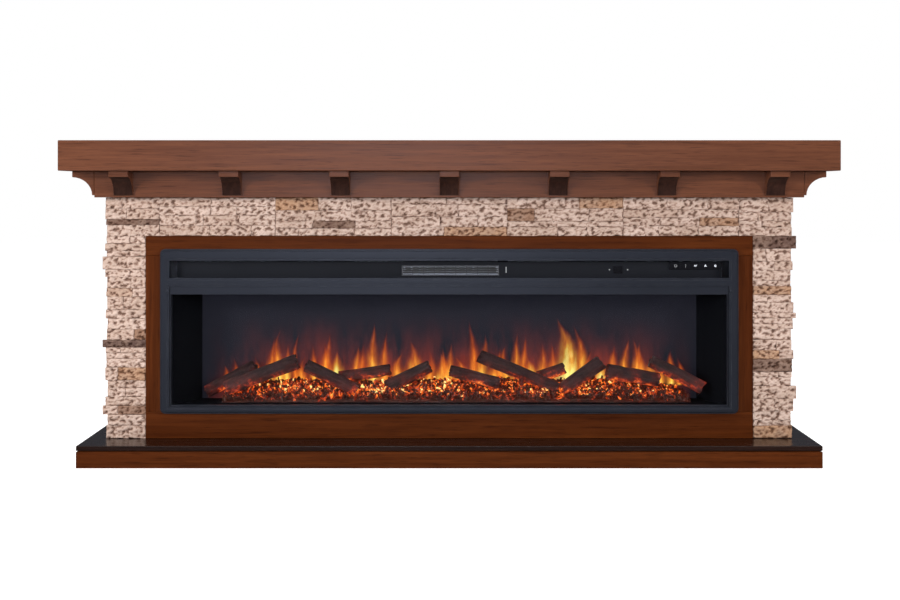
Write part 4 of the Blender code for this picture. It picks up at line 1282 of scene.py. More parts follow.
        # Painted shade under ledges and in cavities is added to the hollow value.
        for vert, place in places.items():
            ledge_and_cavity_shade = self.ledge_and_cavity_shade(depths, place)
            vert[shade_layer] = min(1.0, vert[shade_layer] + ledge_and_cavity_shade)
        rim = list({edge for vert in made for edge in vert.link_edges if edge.is_boundary})
        pulled = bmesh.ops.extrude_edge_only(bm, edges=rim)["geom"]
        back_verts = [item for item in pulled if isinstance(item, bmesh.types.BMVert)]
        for vert in back_verts:
            vert.co.y = -self.mortar - 0.001
            vert[tone_layer] = tone
            # Painted shade on the sides of each stone, where they fall back into the joint.
            vert[shade_layer] = 0.75
        loop = [item for item in pulled if isinstance(item, bmesh.types.BMEdge) and item.is_boundary]
        bmesh.ops.edgeloop_fill(bm, edges=loop)
        for vert in made + back_verts:
            inward = -vert.co.y
            if facing is Facing.FRONT:
                vert.co = Vector((vert.co.x, face + inward, vert.co.z))
            else:
                vert.co = Vector((face - facing.value * inward, vert.co.x, vert.co.z))


@dataclass
class Carcass:
    """The hidden boards behind the facing."""

    finish: RawBoardFinish

    def build(self) -> int:
        """Dresses the carcass and the deck and returns their number."""
        material = self.finish.build()
        for node in ("carcass", "insert_deck"):
            bm = from_node(node)
            round_edges(bm, outward_edges(bm, 0.5), 0.0006, 1)
            add_piece(node + "_board", bm, [material], [node])
        return 2


# ---------------------------------------------------------------- insert


@dataclass
class TrimAndWindow:
    """The folded trim round the insert, the window frame, its turn clips and the pane."""

    steel: bpy.types.Material
    pane: bpy.types.Material
    corner: float = 0.013
    flange: float = 0.0052
    flange_drop: float = 0.0078
    lip_drop: float = 0.0011
    lip: float = 0.0009
    clip: float = 0.0062

    def build(self) -> int:
        """Builds the pieces and returns their number."""
        self.trim()
        self.window()
        self.clips()
        dress("window_glass", self.pane)
        return 4

    def plate(
        self, low: Vector, high: Vector, corner: float, holes: Sequence[tuple[float, float, float]]
    ) -> bmesh.types.BMesh:
        """Makes a flat plate with rectangular openings.

        Args:
            low: The plate's lowest corner.
            high: Its highest corner.
            corner: The radius of its outer corners.
            holes: Each opening's half width, bottom and top.

        Returns:
            The plate.
        """
        bm = bmesh.new()
        add_block(bm, low, high)
        if corner:
            upright = [e for e in bm.edges if abs(e.verts[0].co.y - e.verts[1].co.y) > (high.y - low.y) / 2]
            round_edges(bm, upright, corner, 8)
        cuts = [(Vector((side * half, 0, 0)), Vector((1, 0, 0))) for half, _, _ in holes[:1] for side in (-1, 1)]
        cuts += [(Vector((0, 0, level)), Vector((0, 0, 1))) for _, bottom, top in holes for level in (bottom, top)]
        for point, normal in cuts:
            bmesh.ops.bisect_plane(
                bm, geom=bm.verts[:] + bm.edges[:] + bm.faces[:], plane_co=point, plane_no=normal
            )
        bm.normal_update()
        for half, bottom, top in holes:
            inside = []
            for face in bm.faces:
                middle = face.calc_center_median()
                if abs(face.normal.y) > 0.9 and abs(middle.x) < half and bottom < middle.z < top:
                    inside.append(face)
            bmesh.ops.delete(bm, geom=inside, context="FACES")
            rim = [e for e in bm.edges if e.is_boundary]
            bmesh.ops.bridge_loops(bm, edges=rim)
            bm.normal_update()
        return bm

    def trim(self) -> None:
        """Builds the trim: a low flange, a rolled shoulder, a flat band and a fine lip at each opening."""
        low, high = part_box("trim_frame")
        pane_low, pane_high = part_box("window_frame")
        panel_low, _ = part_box("vent_panel")
        half = high.x - 0.0257
        window = (half, low.z + 0.019, pane_high.z - 0.0077)
        recess = (half, panel_low.z + 0.0015, high.z - 0.030)
        bm = self.plate(low, high, self.corner, (window, recess))
        front = [f for f in bm.faces if f.normal.y < -0.9]
        bmesh.ops.inset_region(bm, faces=front, thickness=self.flange, depth=0, use_even_offset=True)
        bmesh.ops.inset_region(bm, faces=front, thickness=0.0004, depth=0, use_even_offset=True)
        raised = {vert for face in front for vert in face.verts}
        shoulder = set()
        for vert in bm.verts:
            if vert in raised or vert.co.y > low.y + 1e-5:
                continue
            vert.co.y += self.lip_drop if self.by_opening(vert.co, (window, recess)) else self.flange_drop
        bm.normal_update()
        for edge in bm.edges:
            first, second = edge.verts
            level = max(first.co.y, second.co.y) < low.y + 1e-5
            if level and any(face.normal.y > -0.9 for face in edge.link_faces):
                shoulder.add(edge)
        round_edges(bm, shoulder, self.lip, 3)
        add_piece("trim_frame_steel", bm, [self.steel], ["trim_frame"], smooth=50.0, even=True)

    def by_opening(self, spot: Vector, holes: Sequence[tuple[float, float, float]]) -> bool:
        """Returns whether a point is on the lip of an opening.

        Args:
            spot: The point.
            holes: Each opening, as its half width, bottom and top.

        Returns:
            True on a lip.
        """
        reach = self.flange + 0.0006
        return any(
            abs(spot.x) < half + reach and bottom - reach < spot.z < top + reach for half, bottom, top in holes
        )

    def window(self) -> None:
        """Builds the window frame from its node, with rounded front edges."""
        bm = from_node("window_frame")
        round_edges(bm, outward_edges(bm, 0.6), 0.0006, 2)
        add_piece("window_frame_steel", bm, [self.steel], ["window_frame"], even=True)

    def clips(self) -> None:
        """Builds the two domed turn clips beside the top of the window."""
        low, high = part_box("trim_frame")
        _, frame_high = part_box("window_frame")
        bm = bmesh.new()
        for side in (-1, 1):
            centre = Vector((side * (high.x - 0.0192), low.y + 0.0012, frame_high.z - 0.0207))
            turn = Matrix.Translation(centre) @ Matrix.Rotation(math.pi / 2, 4, "X")
            bmesh.ops.create_cone(
                bm,
                cap_ends=True,
                segments=28,
                radius1=self.clip,
                radius2=self.clip * 0.82,
                depth=0.0030,
                matrix=turn,
            )
            slot = Matrix.Translation(centre + Vector((0, -0.0018, 0))) @ Matrix.Rotation(0.5 * side, 4, "Y")
            bmesh.ops.create_cube(
                bm, size=1.0, matrix=slot @ Matrix.Diagonal((self.clip * 1.2, 0.0012, 0.0012, 1.0))
            )
        round_edges(bm, outward_edges(bm, 1.0), 0.0003, 2)
        add_piece("turn_clips", bm, [self.steel])


@dataclass
class UpperRecess:
    """The air outlet, the display and the control strip in the recess over the window."""

    backing: bpy.types.Material
    bright: bpy.types.Material
    gloss: bpy.types.Material
    lit: bpy.types.Material
    dim: bpy.types.Material
    slats: int = 9
    mark: float = 0.0035

    def build(self) -> int:
        """Builds the pieces and returns their number."""
        self.panel()
        self.grille()
        self.lens()
        self.strip()
        self.buttons()
        return 10

    def panel(self) -> None:
        """Builds the panel at the back of the recess, with a rounded lip."""
        bm = from_node("vent_panel")
        round_edges(bm, outward_edges(bm, 1.0), 0.0004, 2)
        add_piece("vent_panel_steel", bm, [self.backing], ["vent_panel"], even=True)

    def grille(self) -> None:
        """Builds the outlet: a frame with slanted slats and upright stays."""
        low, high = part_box("outlet_grille")
        bm = bmesh.new()
        rim = 0.0022
        depth = (low.y, high.y)
        add_block(bm, (low.x, depth[0], low.z), (high.x, depth[1], low.z + rim))
        add_block(bm, (low.x, depth[0], high.z - rim), (high.x, depth[1], high.z))
        for x in (low.x, high.x - rim):
            add_block(bm, (x, depth[0], low.z + rim), (x + rim, depth[1], high.z - rim))
        round_edges(bm, outward_edges(bm, 1.0), 0.0004, 2)
        count = 3
        pitch = (high.z - low.z - 2 * rim) / (count + 1)
        for number in range(count):
            z = low.z + rim + pitch * (number + 1)
            slat = add_block(bm, (low.x + rim, -0.0026, -0.0010), (high.x - rim, 0.0026, 0.0010))
            bmesh.ops.rotate(
                bm, verts=slat, cent=(0, 0, 0), matrix=Matrix.Rotation(math.radians(-24), 3, "X")
            )
            bmesh.ops.translate(bm, verts=slat, vec=(0, (low.y + high.y) / 2, z))
        for number in range(1, self.slats):
            x = low.x + (high.x - low.x) * number / self.slats
            add_block(bm, (x - 0.0006, low.y + 0.0035, low.z + rim), (x + 0.0006, high.y, high.z - rim))
        add_piece("outlet_grille_slats", bm, [self.bright], ["outlet_grille"], even=True)

    def lens(self) -> None:
        """Builds the display window with its rounded edge and the two small dots beside it."""
        bm = from_node("display_lens")
        round_edges(bm, outward_edges(bm, 0.6), 0.0005, 2)
        add_piece("display_lens_gloss", bm, [self.gloss], ["display_lens"], even=True)
        low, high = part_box("display_lens")
        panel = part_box("vent_panel")[0].y + 0.0145
        bm = bmesh.new()
        for x in (low.x - 0.010, high.x + 0.014):
            turn = Matrix.Translation(
                (x, low.y + 0.0018, (low.z + high.z) / 2)
            ) @ Matrix.Rotation(math.pi / 2, 4, "X")
            bmesh.ops.create_cone(
                bm, cap_ends=True, segments=16, radius1=0.0016, radius2=0.0016, depth=0.0016, matrix=turn
            )
        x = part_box("outlet_grille")[1].x + 0.019
        add_block(
            bm, (x - 0.0010, panel - 0.0012, low.z + 0.001), (x + 0.0010, panel + 0.0006, low.z + 0.017)
        )
        add_piece("indicator_dots", bm, [self.dim])

    def strip(self) -> None:
        """Builds the glossy strip from its node, with a polished edge."""
        bm = from_node("control_strip")
        rim = [edge for edge in outward_edges(bm, 0.6) if edge.calc_length() > 0.015]
        round_edges(bm, rim, 0.0005, 2)
        add_piece(
            "control_strip_gloss", bm, [self.gloss], ["control_strip"], smooth=30.0, even=True
        )

    def buttons(self) -> None:
        """Builds the five buttons, each with its own lit mark that moves with it."""
        marks = (self.ring, self.dots, self.zigzag, self.triangle, self.diamond)
        for number, shape in enumerate(marks, start=1):
            node = f"button_{number}"
            low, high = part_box(node)
            middle = (low + high) / 2
            bm = bmesh.new()
            turn = Matrix.Translation(middle) @ Matrix.Rotation(math.pi / 2, 4, "X")
            radius = (high.x - low.x) / 2
            bmesh.ops.create_cone(
                bm,
                cap_ends=True,
                segments=40,
                radius1=radius,
                radius2=radius,
                depth=high.y - low.y,
                matrix=turn,
            )
            round_edges(bm, outward_edges(bm, 1.0), 0.0004, 3)
            add_piece(node + "_cap", bm, [self.gloss], [node], body=node + "_body", even=True)
            bm = bmesh.new()
            shape(bm)
            bmesh.ops.rotate(bm, verts=bm.verts, cent=(0, 0, 0), matrix=Matrix.Rotation(math.pi / 2, 3, "X"))
            bmesh.ops.translate(bm, verts=bm.verts, vec=(middle.x, low.y - 0.0001, middle.z))
            material = self.dim if number < 3 else self.lit
            add_piece(node + "_mark", bm, [material], body=node + "_body")

    def outline(self, bm: bmesh.types.BMesh, corners: int, radius: float, width: float, turn: float) -> None:
        """Adds a flat ring or polygon outline, a little raised.

        Args:
            bm: The shape.
            corners: The number of corners.
            radius: The radius to a corner.
            width: The width of the line.
            turn: The turn in radians.
        """
        made = bmesh.ops.create_circle(bm, cap_ends=True, segments=corners, radius=radius)["verts"]
        bmesh.ops.rotate(bm, verts=made, cent=(0, 0, 0), matrix=Matrix.Rotation(turn, 3, "Z"))
        face = list({f for v in made for f in v.link_faces})
        bmesh.ops.inset_region(bm, faces=face, thickness=width, use_boundary=True, use_even_offset=True)
        bmesh.ops.delete(bm, geom=face, context="FACES")
        bmesh.ops.solidify(bm, geom=bm.faces[:], thickness=0.00012)

    def bar(
        self, bm: bmesh.types.BMesh, start: tuple[float, float], end: tuple[float, float], width: float
    ) -> None:
        """Adds a short raised bar between two points.

        Args:
            bm: The shape.
            start: The first point.
            end: The second point.
            width: The width of the bar.
        """
        first = Vector((*start, 0))
        second = Vector((*end, 0))
        run = second - first
        matrix = Matrix.Translation((first + second) / 2) @ Matrix.Rotation(math.atan2(run.y, run.x), 4, "Z")
        bmesh.ops.create_cube(
            bm, size=1.0, matrix=matrix @ Matrix.Diagonal((run.length + width * 0.6, width, 0.0001, 1.0))
        )

    def ring(self, bm: bmesh.types.BMesh) -> None:
        """Adds a ring mark."""
        self.outline(bm, 28, self.mark, 0.0009, 0.0)

    def dots(self, bm: bmesh.types.BMesh) -> None:
        """Adds three dots, one over another."""
        for level in (-1, 0, 1):
            matrix = Matrix.Translation((0, level * self.mark * 0.85, 0))
            bmesh.ops.create_cone(
                bm, cap_ends=True, segments=14, radius1=0.0009, radius2=0.0009, depth=0.0001, matrix=matrix
            )

    def zigzag(self, bm: bmesh.types.BMesh) -> None:
        """Adds a zigzag mark."""
        size = self.mark
        points = [(-size, -size * 0.5), (-size * 0.4, size * 0.7), (size * 0.2, -size * 0.5), (size, size * 0.8)]
        for start, end in zip(points, points[1:]):
            self.bar(bm, start, end, 0.0010)

    def triangle(self, bm: bmesh.types.BMesh) -> None:
        """Adds a triangle mark."""
        self.outline(bm, 3, self.mark * 1.1, 0.0009, 0.0)

    def diamond(self, bm: bmesh.types.BMesh) -> None:
        """Adds a diamond mark."""
        self.outline(bm, 4, self.mark, 0.0011, 0.0)


@dataclass
class Firebox:
    """The lined box behind the window and the smoked screen at its back."""

    lining: bpy.types.Material
    screen: bpy.types.Material
    zinc: bpy.types.Material

    def build(self) -> int:
        """Builds the pieces and returns their number."""
        bm = from_node("firebox_liner")
        round_edges(bm, outward_edges(bm, 0.6), 0.0004, 1)
        add_piece("firebox_lining", bm, [self.lining], ["firebox_liner"], even=True)
        bm = from_node("flame_screen")
        round_edges(bm, outward_edges(bm, 0.6), 0.0005, 2)
        add_piece("flame_screen_acrylic", bm, [self.screen], ["flame_screen"], even=True)
        bm = from_node("insert_case")
        round_edges(bm, [e for e in outward_edges(bm, 1.2) if e.calc_length() > 0.05], 0.0010, 2)
        add_piece("insert_case_zinc", bm, [self.zinc], ["insert_case"], even=True)
        return 3


@dataclass
class FireBed:
    """The heap of glowing chips, the charred logs and the tongues of flame."""

    ember: bpy.types.Material
    bark: bpy.types.Material
    flame: bpy.types.Material
    chips: int = 3400
    rings: int = 34
    spokes: int = 30
    spread: float = 2.3
    foot_height: float = 0.034
    screen_gap: float = 0.0016
    layer_gap: float = 0.0004
    chip_length: tuple[float, float] = (0.009, 0.024)
    chip_thickness: tuple[float, float] = (0.0028, 0.0060)
    chip_warmths: tuple[float, ...] = (0.14, 0.26, 0.45, 0.75, 1.10, 1.6)

    # Loose logs: node, whether it climbs to the right, its radius at each end, and the stub on it.
    loose = (
        ("log_left", True, 0.0165, 0.0175, 0.0), ("log_second", False, 0.0145, 0.0150, 0.0),
        ("log_middle", False, 0.0135, 0.0140, 0.0), ("log_long", False, 0.0150, 0.0145, 0.55),
        ("log_right_rising", True, 0.0150, 0.0165, 0.0), ("log_thick", False, 0.0185, 0.0150, 0.0),
        ("log_right", False, 0.0140, 0.0150, 0.0),
    )

    def build(self) -> int:
        """Builds the fire bed and returns its number of pieces."""
        self.heap()
        for seed, (node, climbs, first, last, stub) in enumerate(self.loose):
            low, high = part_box(node)
            inset = 0.45 * (first + last) / 2
            y = (low.y + high.y) / 2
            floor = low.z + first
            top = high.z - last
            start = Vector((low.x + inset, y, floor if climbs else top))
            end = Vector((high.x - inset, y, top if climbs else floor))
            self.log(node + "_bark", start, end, (first, last), seed, stub, [node])
        self.rear_logs()
        self.tongues()
        return 13

    def rear_logs(self) -> None:
        """Builds the four small logs moulded with the bed."""
        low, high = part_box("ember_bed")
        floor = low.z
        back = high.y - 0.020
        spots = (
            ((low.x + 0.012, back, floor + 0.021), (low.x + 0.142, back, floor + 0.090), 0.0148),
            ((-0.296, back, floor + 0.060), (-0.160, back, floor + 0.080), 0.0135),
            ((-0.166, back - 0.012, floor + 0.034), (-0.054, back - 0.010, floor + 0.090), 0.0155),
            ((0.240, back, floor + 0.060), (0.310, back, floor + 0.084), 0.0135),
        )
        for number, (start, end, radius) in enumerate(spots):
            self.log(
                f"rear_log_{number + 1}",
                Vector(start),
                Vector(end),
                (radius, radius * 0.97),
                40 + number,
                0.0,
                [],
            )

    def height(self, x: float, y: float, low: Vector, high: Vector) -> float:
        """Returns the height of the heap over its floor.

        Args:
            x: The place along the bed.
            y: The place across the bed.
            low: The bed's lowest corner.
            high: The bed's highest corner.

        Returns:
            The height in metres.
        """
        share = (y - low.y) / (high.y - low.y)
        swell = noise.noise(Vector((x * 11, 2.0, 0.0)))
        ends = min(1.0, 0.30 + 7 * min(x - low.x, high.x - 0.030 - x))
        lift = 0.004 + 0.050 * share ** 0.85 + 0.010 * swell * share
        return lift * max(0.12, ends)

    def heap(self) -> None:
        """Builds the bed: a glowing ground with a seeded scatter of broken chips on it."""
        low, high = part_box("ember_bed")
        low = low + Vector((0.060, 0.001, 0))
        width = high.x - low.x - 0.030
        chance = random.Random(5)
        bm = bmesh.new()
        heat = bm.verts.layers.float.new("warmth")
        ground = bmesh.ops.create_grid(bm, x_segments=300, y_segments=22, size=0.5)["verts"]
        for vert in ground:
            x = low.x + (vert.co.x + 0.5) * width
            scallop = 0.010 * (0.5 + 0.5 * noise.noise(Vector((x * 13, 7.0, 0.0))))
            y = low.y + scallop + (vert.co.y + 0.5) * (high.y - low.y - scallop - 0.002)
            bump = noise.fractal(Vector((x * 120, y * 120, 0)), 0.8, 2.0, 3)
            vert.co = Vector((x, y, low.z + max(0.001, self.height(x, y, low, high) - 0.003 + bump * 0.0035)))
            vert[heat] = 0.12 + 0.40 * max(0.0, bump)
        rim = [edge for edge in bm.edges if edge.is_boundary]
        pulled = bmesh.ops.extrude_edge_only(bm, edges=rim)["geom"]
        for vert in [item for item in pulled if isinstance(item, bmesh.types.BMVert)]:
            vert.co.z = low.z + 0.0002
            vert[heat] = 0.1
        bmesh.ops.edgeloop_fill(bm, edges=[e for e in bm.edges if e.is_boundary])
        for _ in range(self.chips):
            share = chance.random() ** 1.1
            x = low.x + chance.uniform(0.004, width - 0.006)
            y = low.y + 0.008 + share * (high.y - low.y - 0.020)
            length = chance.uniform(*self.chip_length)
            z = low.z + self.height(x, y, low, high) + chance.uniform(-0.0015, 0.0035)
            ends = min(1.0, 0.30 + 6.0 * min(x - low.x, low.x + width - x))
            glow = ends * min(1.0, 0.34 + 2.4 * share)
            self.chip(bm, Vector((x, y, max(z, low.z + 0.003))), length, glow, chance, heat)
        add_piece("ember_bed_chips", bm, [self.ember], ["ember_bed"], smooth=20.0)

    def chip(
        self, bm: bmesh.types.BMesh, spot: Vector, length: float, glow: float, chance: random.Random, heat: object,
    ) -> None:
        """Adds one broken splinter of ember, hotter along one edge.

        Args:
            bm: The shape.
            spot: The middle of the splinter.
            length: Its length.
            glow: How hot it is for its place in the bed.
            chance: The source of variation.
            heat: The layer that holds the warmth.
        """
        spin = Matrix.Rotation(chance.uniform(0, math.tau), 4, "Y")
        turn = Matrix.Rotation(
            chance.uniform(-0.9, 0.9), 4, "Z"
        ) @ spin @ Matrix.Rotation(chance.uniform(-0.9, 0.9), 4, "X")
        thick = chance.uniform(*self.chip_thickness)
        shape = Matrix.Diagonal((length, thick, thick * chance.uniform(0.7, 1.3), 1.0))
        made = bmesh.ops.create_cube(bm, size=1.0, matrix=Matrix.Translation(spot) @ turn @ shape)["verts"]
        warmth = glow * chance.choice(self.chip_warmths)
        for vert in made:
            vert.co += Vector(
                (chance.uniform(-1, 1), chance.uniform(-1, 1), chance.uniform(-1, 1))
            ) * thick * 0.30
            vert[heat] = warmth * chance.choice((0.45, 1.0, 1.15))

    def log(
        self, name: str, start: Vector, end: Vector, radii: tuple[float, float],
        seed: int, stub: float, replaces: Sequence[str],
    ) -> None:
        """Builds one log with furrowed bark, a bow and rough ends.

        Args:
            name: The piece's name.
            start: The middle of its left end.
            end: The middle of its right end.
            radii: Its radius at each end.
            seed: Picks its bark.
            stub: How far along it a broken branch stands, or 0 for none.
            replaces: The CAD nodes that it stands for.
        """
        chance = random.Random(100 + seed)
        run = end - start
        bm = bmesh.new()
        furrow = bm.verts.layers.float.new("furrow")
        under = bm.verts.layers.float.new("under")
        bmesh.ops.create_cone(
            bm, cap_ends=True, segments=self.spokes, radius1=radii[0], radius2=radii[1], depth=run.length
        )
        long_edges = [e for e in bm.edges if abs(e.verts[0].co.z - e.verts[1].co.z) > run.length / 2]
        bmesh.ops.subdivide_edges(bm, edges=long_edges, cuts=self.rings)
        caps = [f for f in bm.faces if len(f.verts) > 6]
        bmesh.ops.inset_region(bm, faces=caps, thickness=radii[0] * 0.35)
        offset = Vector((chance.uniform(0, 50), chance.uniform(0, 50), chance.uniform(0, 50)))
        bow = chance.uniform(-0.004, 0.004)
        for vert in bm.verts:
            share = vert.co.z / run.length + 0.5
            angle = math.atan2(vert.co.y, vert.co.x)
            radius = math.hypot(vert.co.x, vert.co.y)
            spot = offset + Vector((math.cos(angle) * 3.0, math.sin(angle) * 3.0, share * run.length * 26))
            ridged = abs(noise.noise(Vector((spot.x * 1.6, spot.y * 1.6, spot.z * 0.45))))
            lumps = noise.noise(Vector((spot.x * 0.5, spot.y * 0.5, spot.z * 0.35)))
            bark_edge = min(1.0, max(0.0, 1.0 - ridged * 4.5))
            full = radius > radii[0] * 0.8
            vert[furrow] = bark_edge if full else 0.35
            change = 1.20 + 0.11 * lumps - 0.16 * bark_edge
            vert.co.x *= change
            vert.co.y *= change
            vert.co.y += bow * math.sin(share * math.pi)
            if share < 0.01 or share > 0.99:
                vert.co.z += noise.noise(spot * 0.9) * 0.006
        if stub:
            tip = Matrix.Translation((0.4 * radii[0], -0.2 * radii[0], run.length * (stub - 0.5)))
            lean = tip @ Matrix.Rotation(math.radians(70), 4, "Y") @ Matrix.Translation((0, 0, 0.012))
            made = bmesh.ops.create_cone(
                bm, cap_ends=True, segments=12, radius1=0.008, radius2=0.0055, depth=0.026, matrix=lean
            )
            for vert in made["verts"]:
                vert[furrow] = 0.3
        turn = Vector((0, 0, 1)).rotation_difference(run).to_matrix().to_4x4()
        bmesh.ops.transform(bm, matrix=Matrix.Translation((start + end) / 2) @ turn, verts=bm.verts)
        bm.normal_update()
        for vert in bm.verts:
            down = max(0.0, -vert.normal.z)
            low_part = max(0.0, 1.0 - (vert.co.z - min(start.z, end.z)) / 0.045)
            patch = 0.5 + 0.9 * noise.noise(vert.co * 38 + offset)
            vert[under] = min(1.0, max(0.0, (down * 0.85 + 0.65 * low_part) * patch))
        add_piece(name, bm, [self.bark], replaces, smooth=60.0)

    # Tongues in millimetres: foot X, tip X, tip height over the floor, width, and warmth in tenths.
    licks = (
        (
            -605, -603, 238, 16, 6
        ), (-578, -580, 258, 16, 7), (-490, -470, 312, 20, 9), (-462, -456, 334, 22, 9),
        (
            -440, -443, 296, 18, 9
        ), (-416, -414, 328, 14, 6), (-397, -398, 262, 20, 8), (-367, -366, 296, 18, 8),
        (-343, -323, 322, 22, 9), (
            -307, -305, 276, 30, 12
        ), (-262, -238, 290, 24, 9), (-204, -212, 352, 22, 9),
        (-176, -174, 330, 18, 8), (-136, -136, 272, 24, 9), (-97, -104, 304, 32, 10), (-24, -20, 272, 24, 10),
        (-8, -17, 286, 16, 9), (2, 6, 300, 18, 9), (64, 66, 360, 20, 7), (89, 88, 324, 22, 9),
        (158, 146, 294, 20, 9), (181, 187, 326, 20, 9), (200, 208, 322, 16, 8), (219, 220, 258, 34, 13),
        (254, 252, 304, 22, 9), (278, 280, 298, 18, 8), (314, 311, 364, 40, 13), (330, 336, 300, 24, 12),
        (357, 346, 346, 24, 9), (376, 378, 286, 16, 7), (411, 410, 262, 32, 12), (452, 436, 294, 22, 9),
        (474, 482, 314, 20, 9), (503, 507, 312, 20, 9), (523, 522, 304, 18, 9), (545, 546, 262, 26, 11),
        (601, 604, 282, 18, 8), (624, 628, 258, 16, 7), (-520, -524, 262, 18, 8), (-236, -228, 300, 20, 7),
        (30, 26, 262, 26, 10), (120, 124, 262, 24, 9), (140, 132, 288, 18, 8), (572, 570, 252, 20, 8),
        (-55, -50, 276, 20, 8), (-330, -336, 300, 14, 8),
    )

    def tongues(self) -> None:
        """Builds the tongues of flame just in front of the screen."""
        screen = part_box("flame_screen")[0].y
        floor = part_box("ember_bed")[0].z
        bm = bmesh.new()
        heat = bm.verts.layers.float.new("warmth")
        uv = bm.loops.layers.uv.new("tongue")
        chance = random.Random(3)
        for number, (foot, tip, top, width, warmth) in enumerate(self.licks):
            y = screen - self.screen_gap - self.layer_gap * (number % 5)
            base = floor + self.foot_height
            self.tongue(
                bm,
                foot / 1000,
                tip / 1000,
                base,
                top / 1000,
                width / 1000 * self.spread,
                y,
                warmth / 10,
                chance,
                heat,
                uv,
            )
        add_piece("flame_tongues", bm, [self.flame], smooth=None, keep_normals=True)

    def tongue(
        self, bm: bmesh.types.BMesh, foot: float, tip: float, base: float, top: float, width: float,
        y: float, warmth: float, chance: random.Random, heat: object, uv: object,
    ) -> None:
        """Adds one tongue: a tall strip that swells over its foot and sways to a point.

        Args:
            bm: The shape.
            foot: Its foot along X.
            tip: Its tip along X.
            base: The height of its foot.
            top: The height of its tip.
            width: Its width.
            y: Its plane.
            warmth: How hot it is.
            chance: The source of variation.
            heat: The layer that holds the warmth.
            uv: The layer that holds its map.
        """
        made = bmesh.ops.create_grid(bm, x_segments=6, y_segments=18, size=0.5)["verts"]
        sway = chance.uniform(-1, 1) * width * 0.35
        phase = chance.uniform(0, 6.28)
        places = {}
        for vert in made:
            across = vert.co.x + 0.5
            up = vert.co.y + 0.5
            girth = (math.sin(math.pi * min(1.0, up * 0.78 + 0.22)) ** 0.8) * (1 - up) ** 0.25
            middle = foot + (tip - foot) * up ** 1.4 + sway * math.sin(up * 4.2 + phase) * up
            x = middle + (across - 0.5) * width * max(0.05, girth)
            places[vert] = (across, up)
            vert.co = Vector((x, y, base + (top - base) * up))
            vert[heat] = warmth
        for face in {f for vert in made for f in vert.link_faces}:
            for loop in face.loops:
                loop[uv].uv = places[loop.vert]
            face.normal_update()
            if face.normal.y > 0:
                face.normal_flip()


@dataclass
class Works:
    """The blower, heater, flame rotor and electrics behind the front."""

    zinc: bpy.types.Material
    black: bpy.types.Material
    foil: bpy.types.Material
    plastic: bpy.types.Material
    circuit: bpy.types.Material

    def build(self) -> int:
        """Dresses the nodes and returns their number."""
        finishes = {
            self.zinc: ("blower_housing", "blower_wheel", "heating_element"),
            self.black: ("blower_motor",),
            self.foil: ("flame_rotor",),
            self.plastic: ("rotor_motor", "power_gland"),
            self.circuit: ("control_board", "light_strip"),
        }
        for material, nodes in finishes.items():
            for node in nodes:
                dress(node, material)
        return sum(len(nodes) for nodes in finishes.values())


# ---------------------------------------------------------------- studio


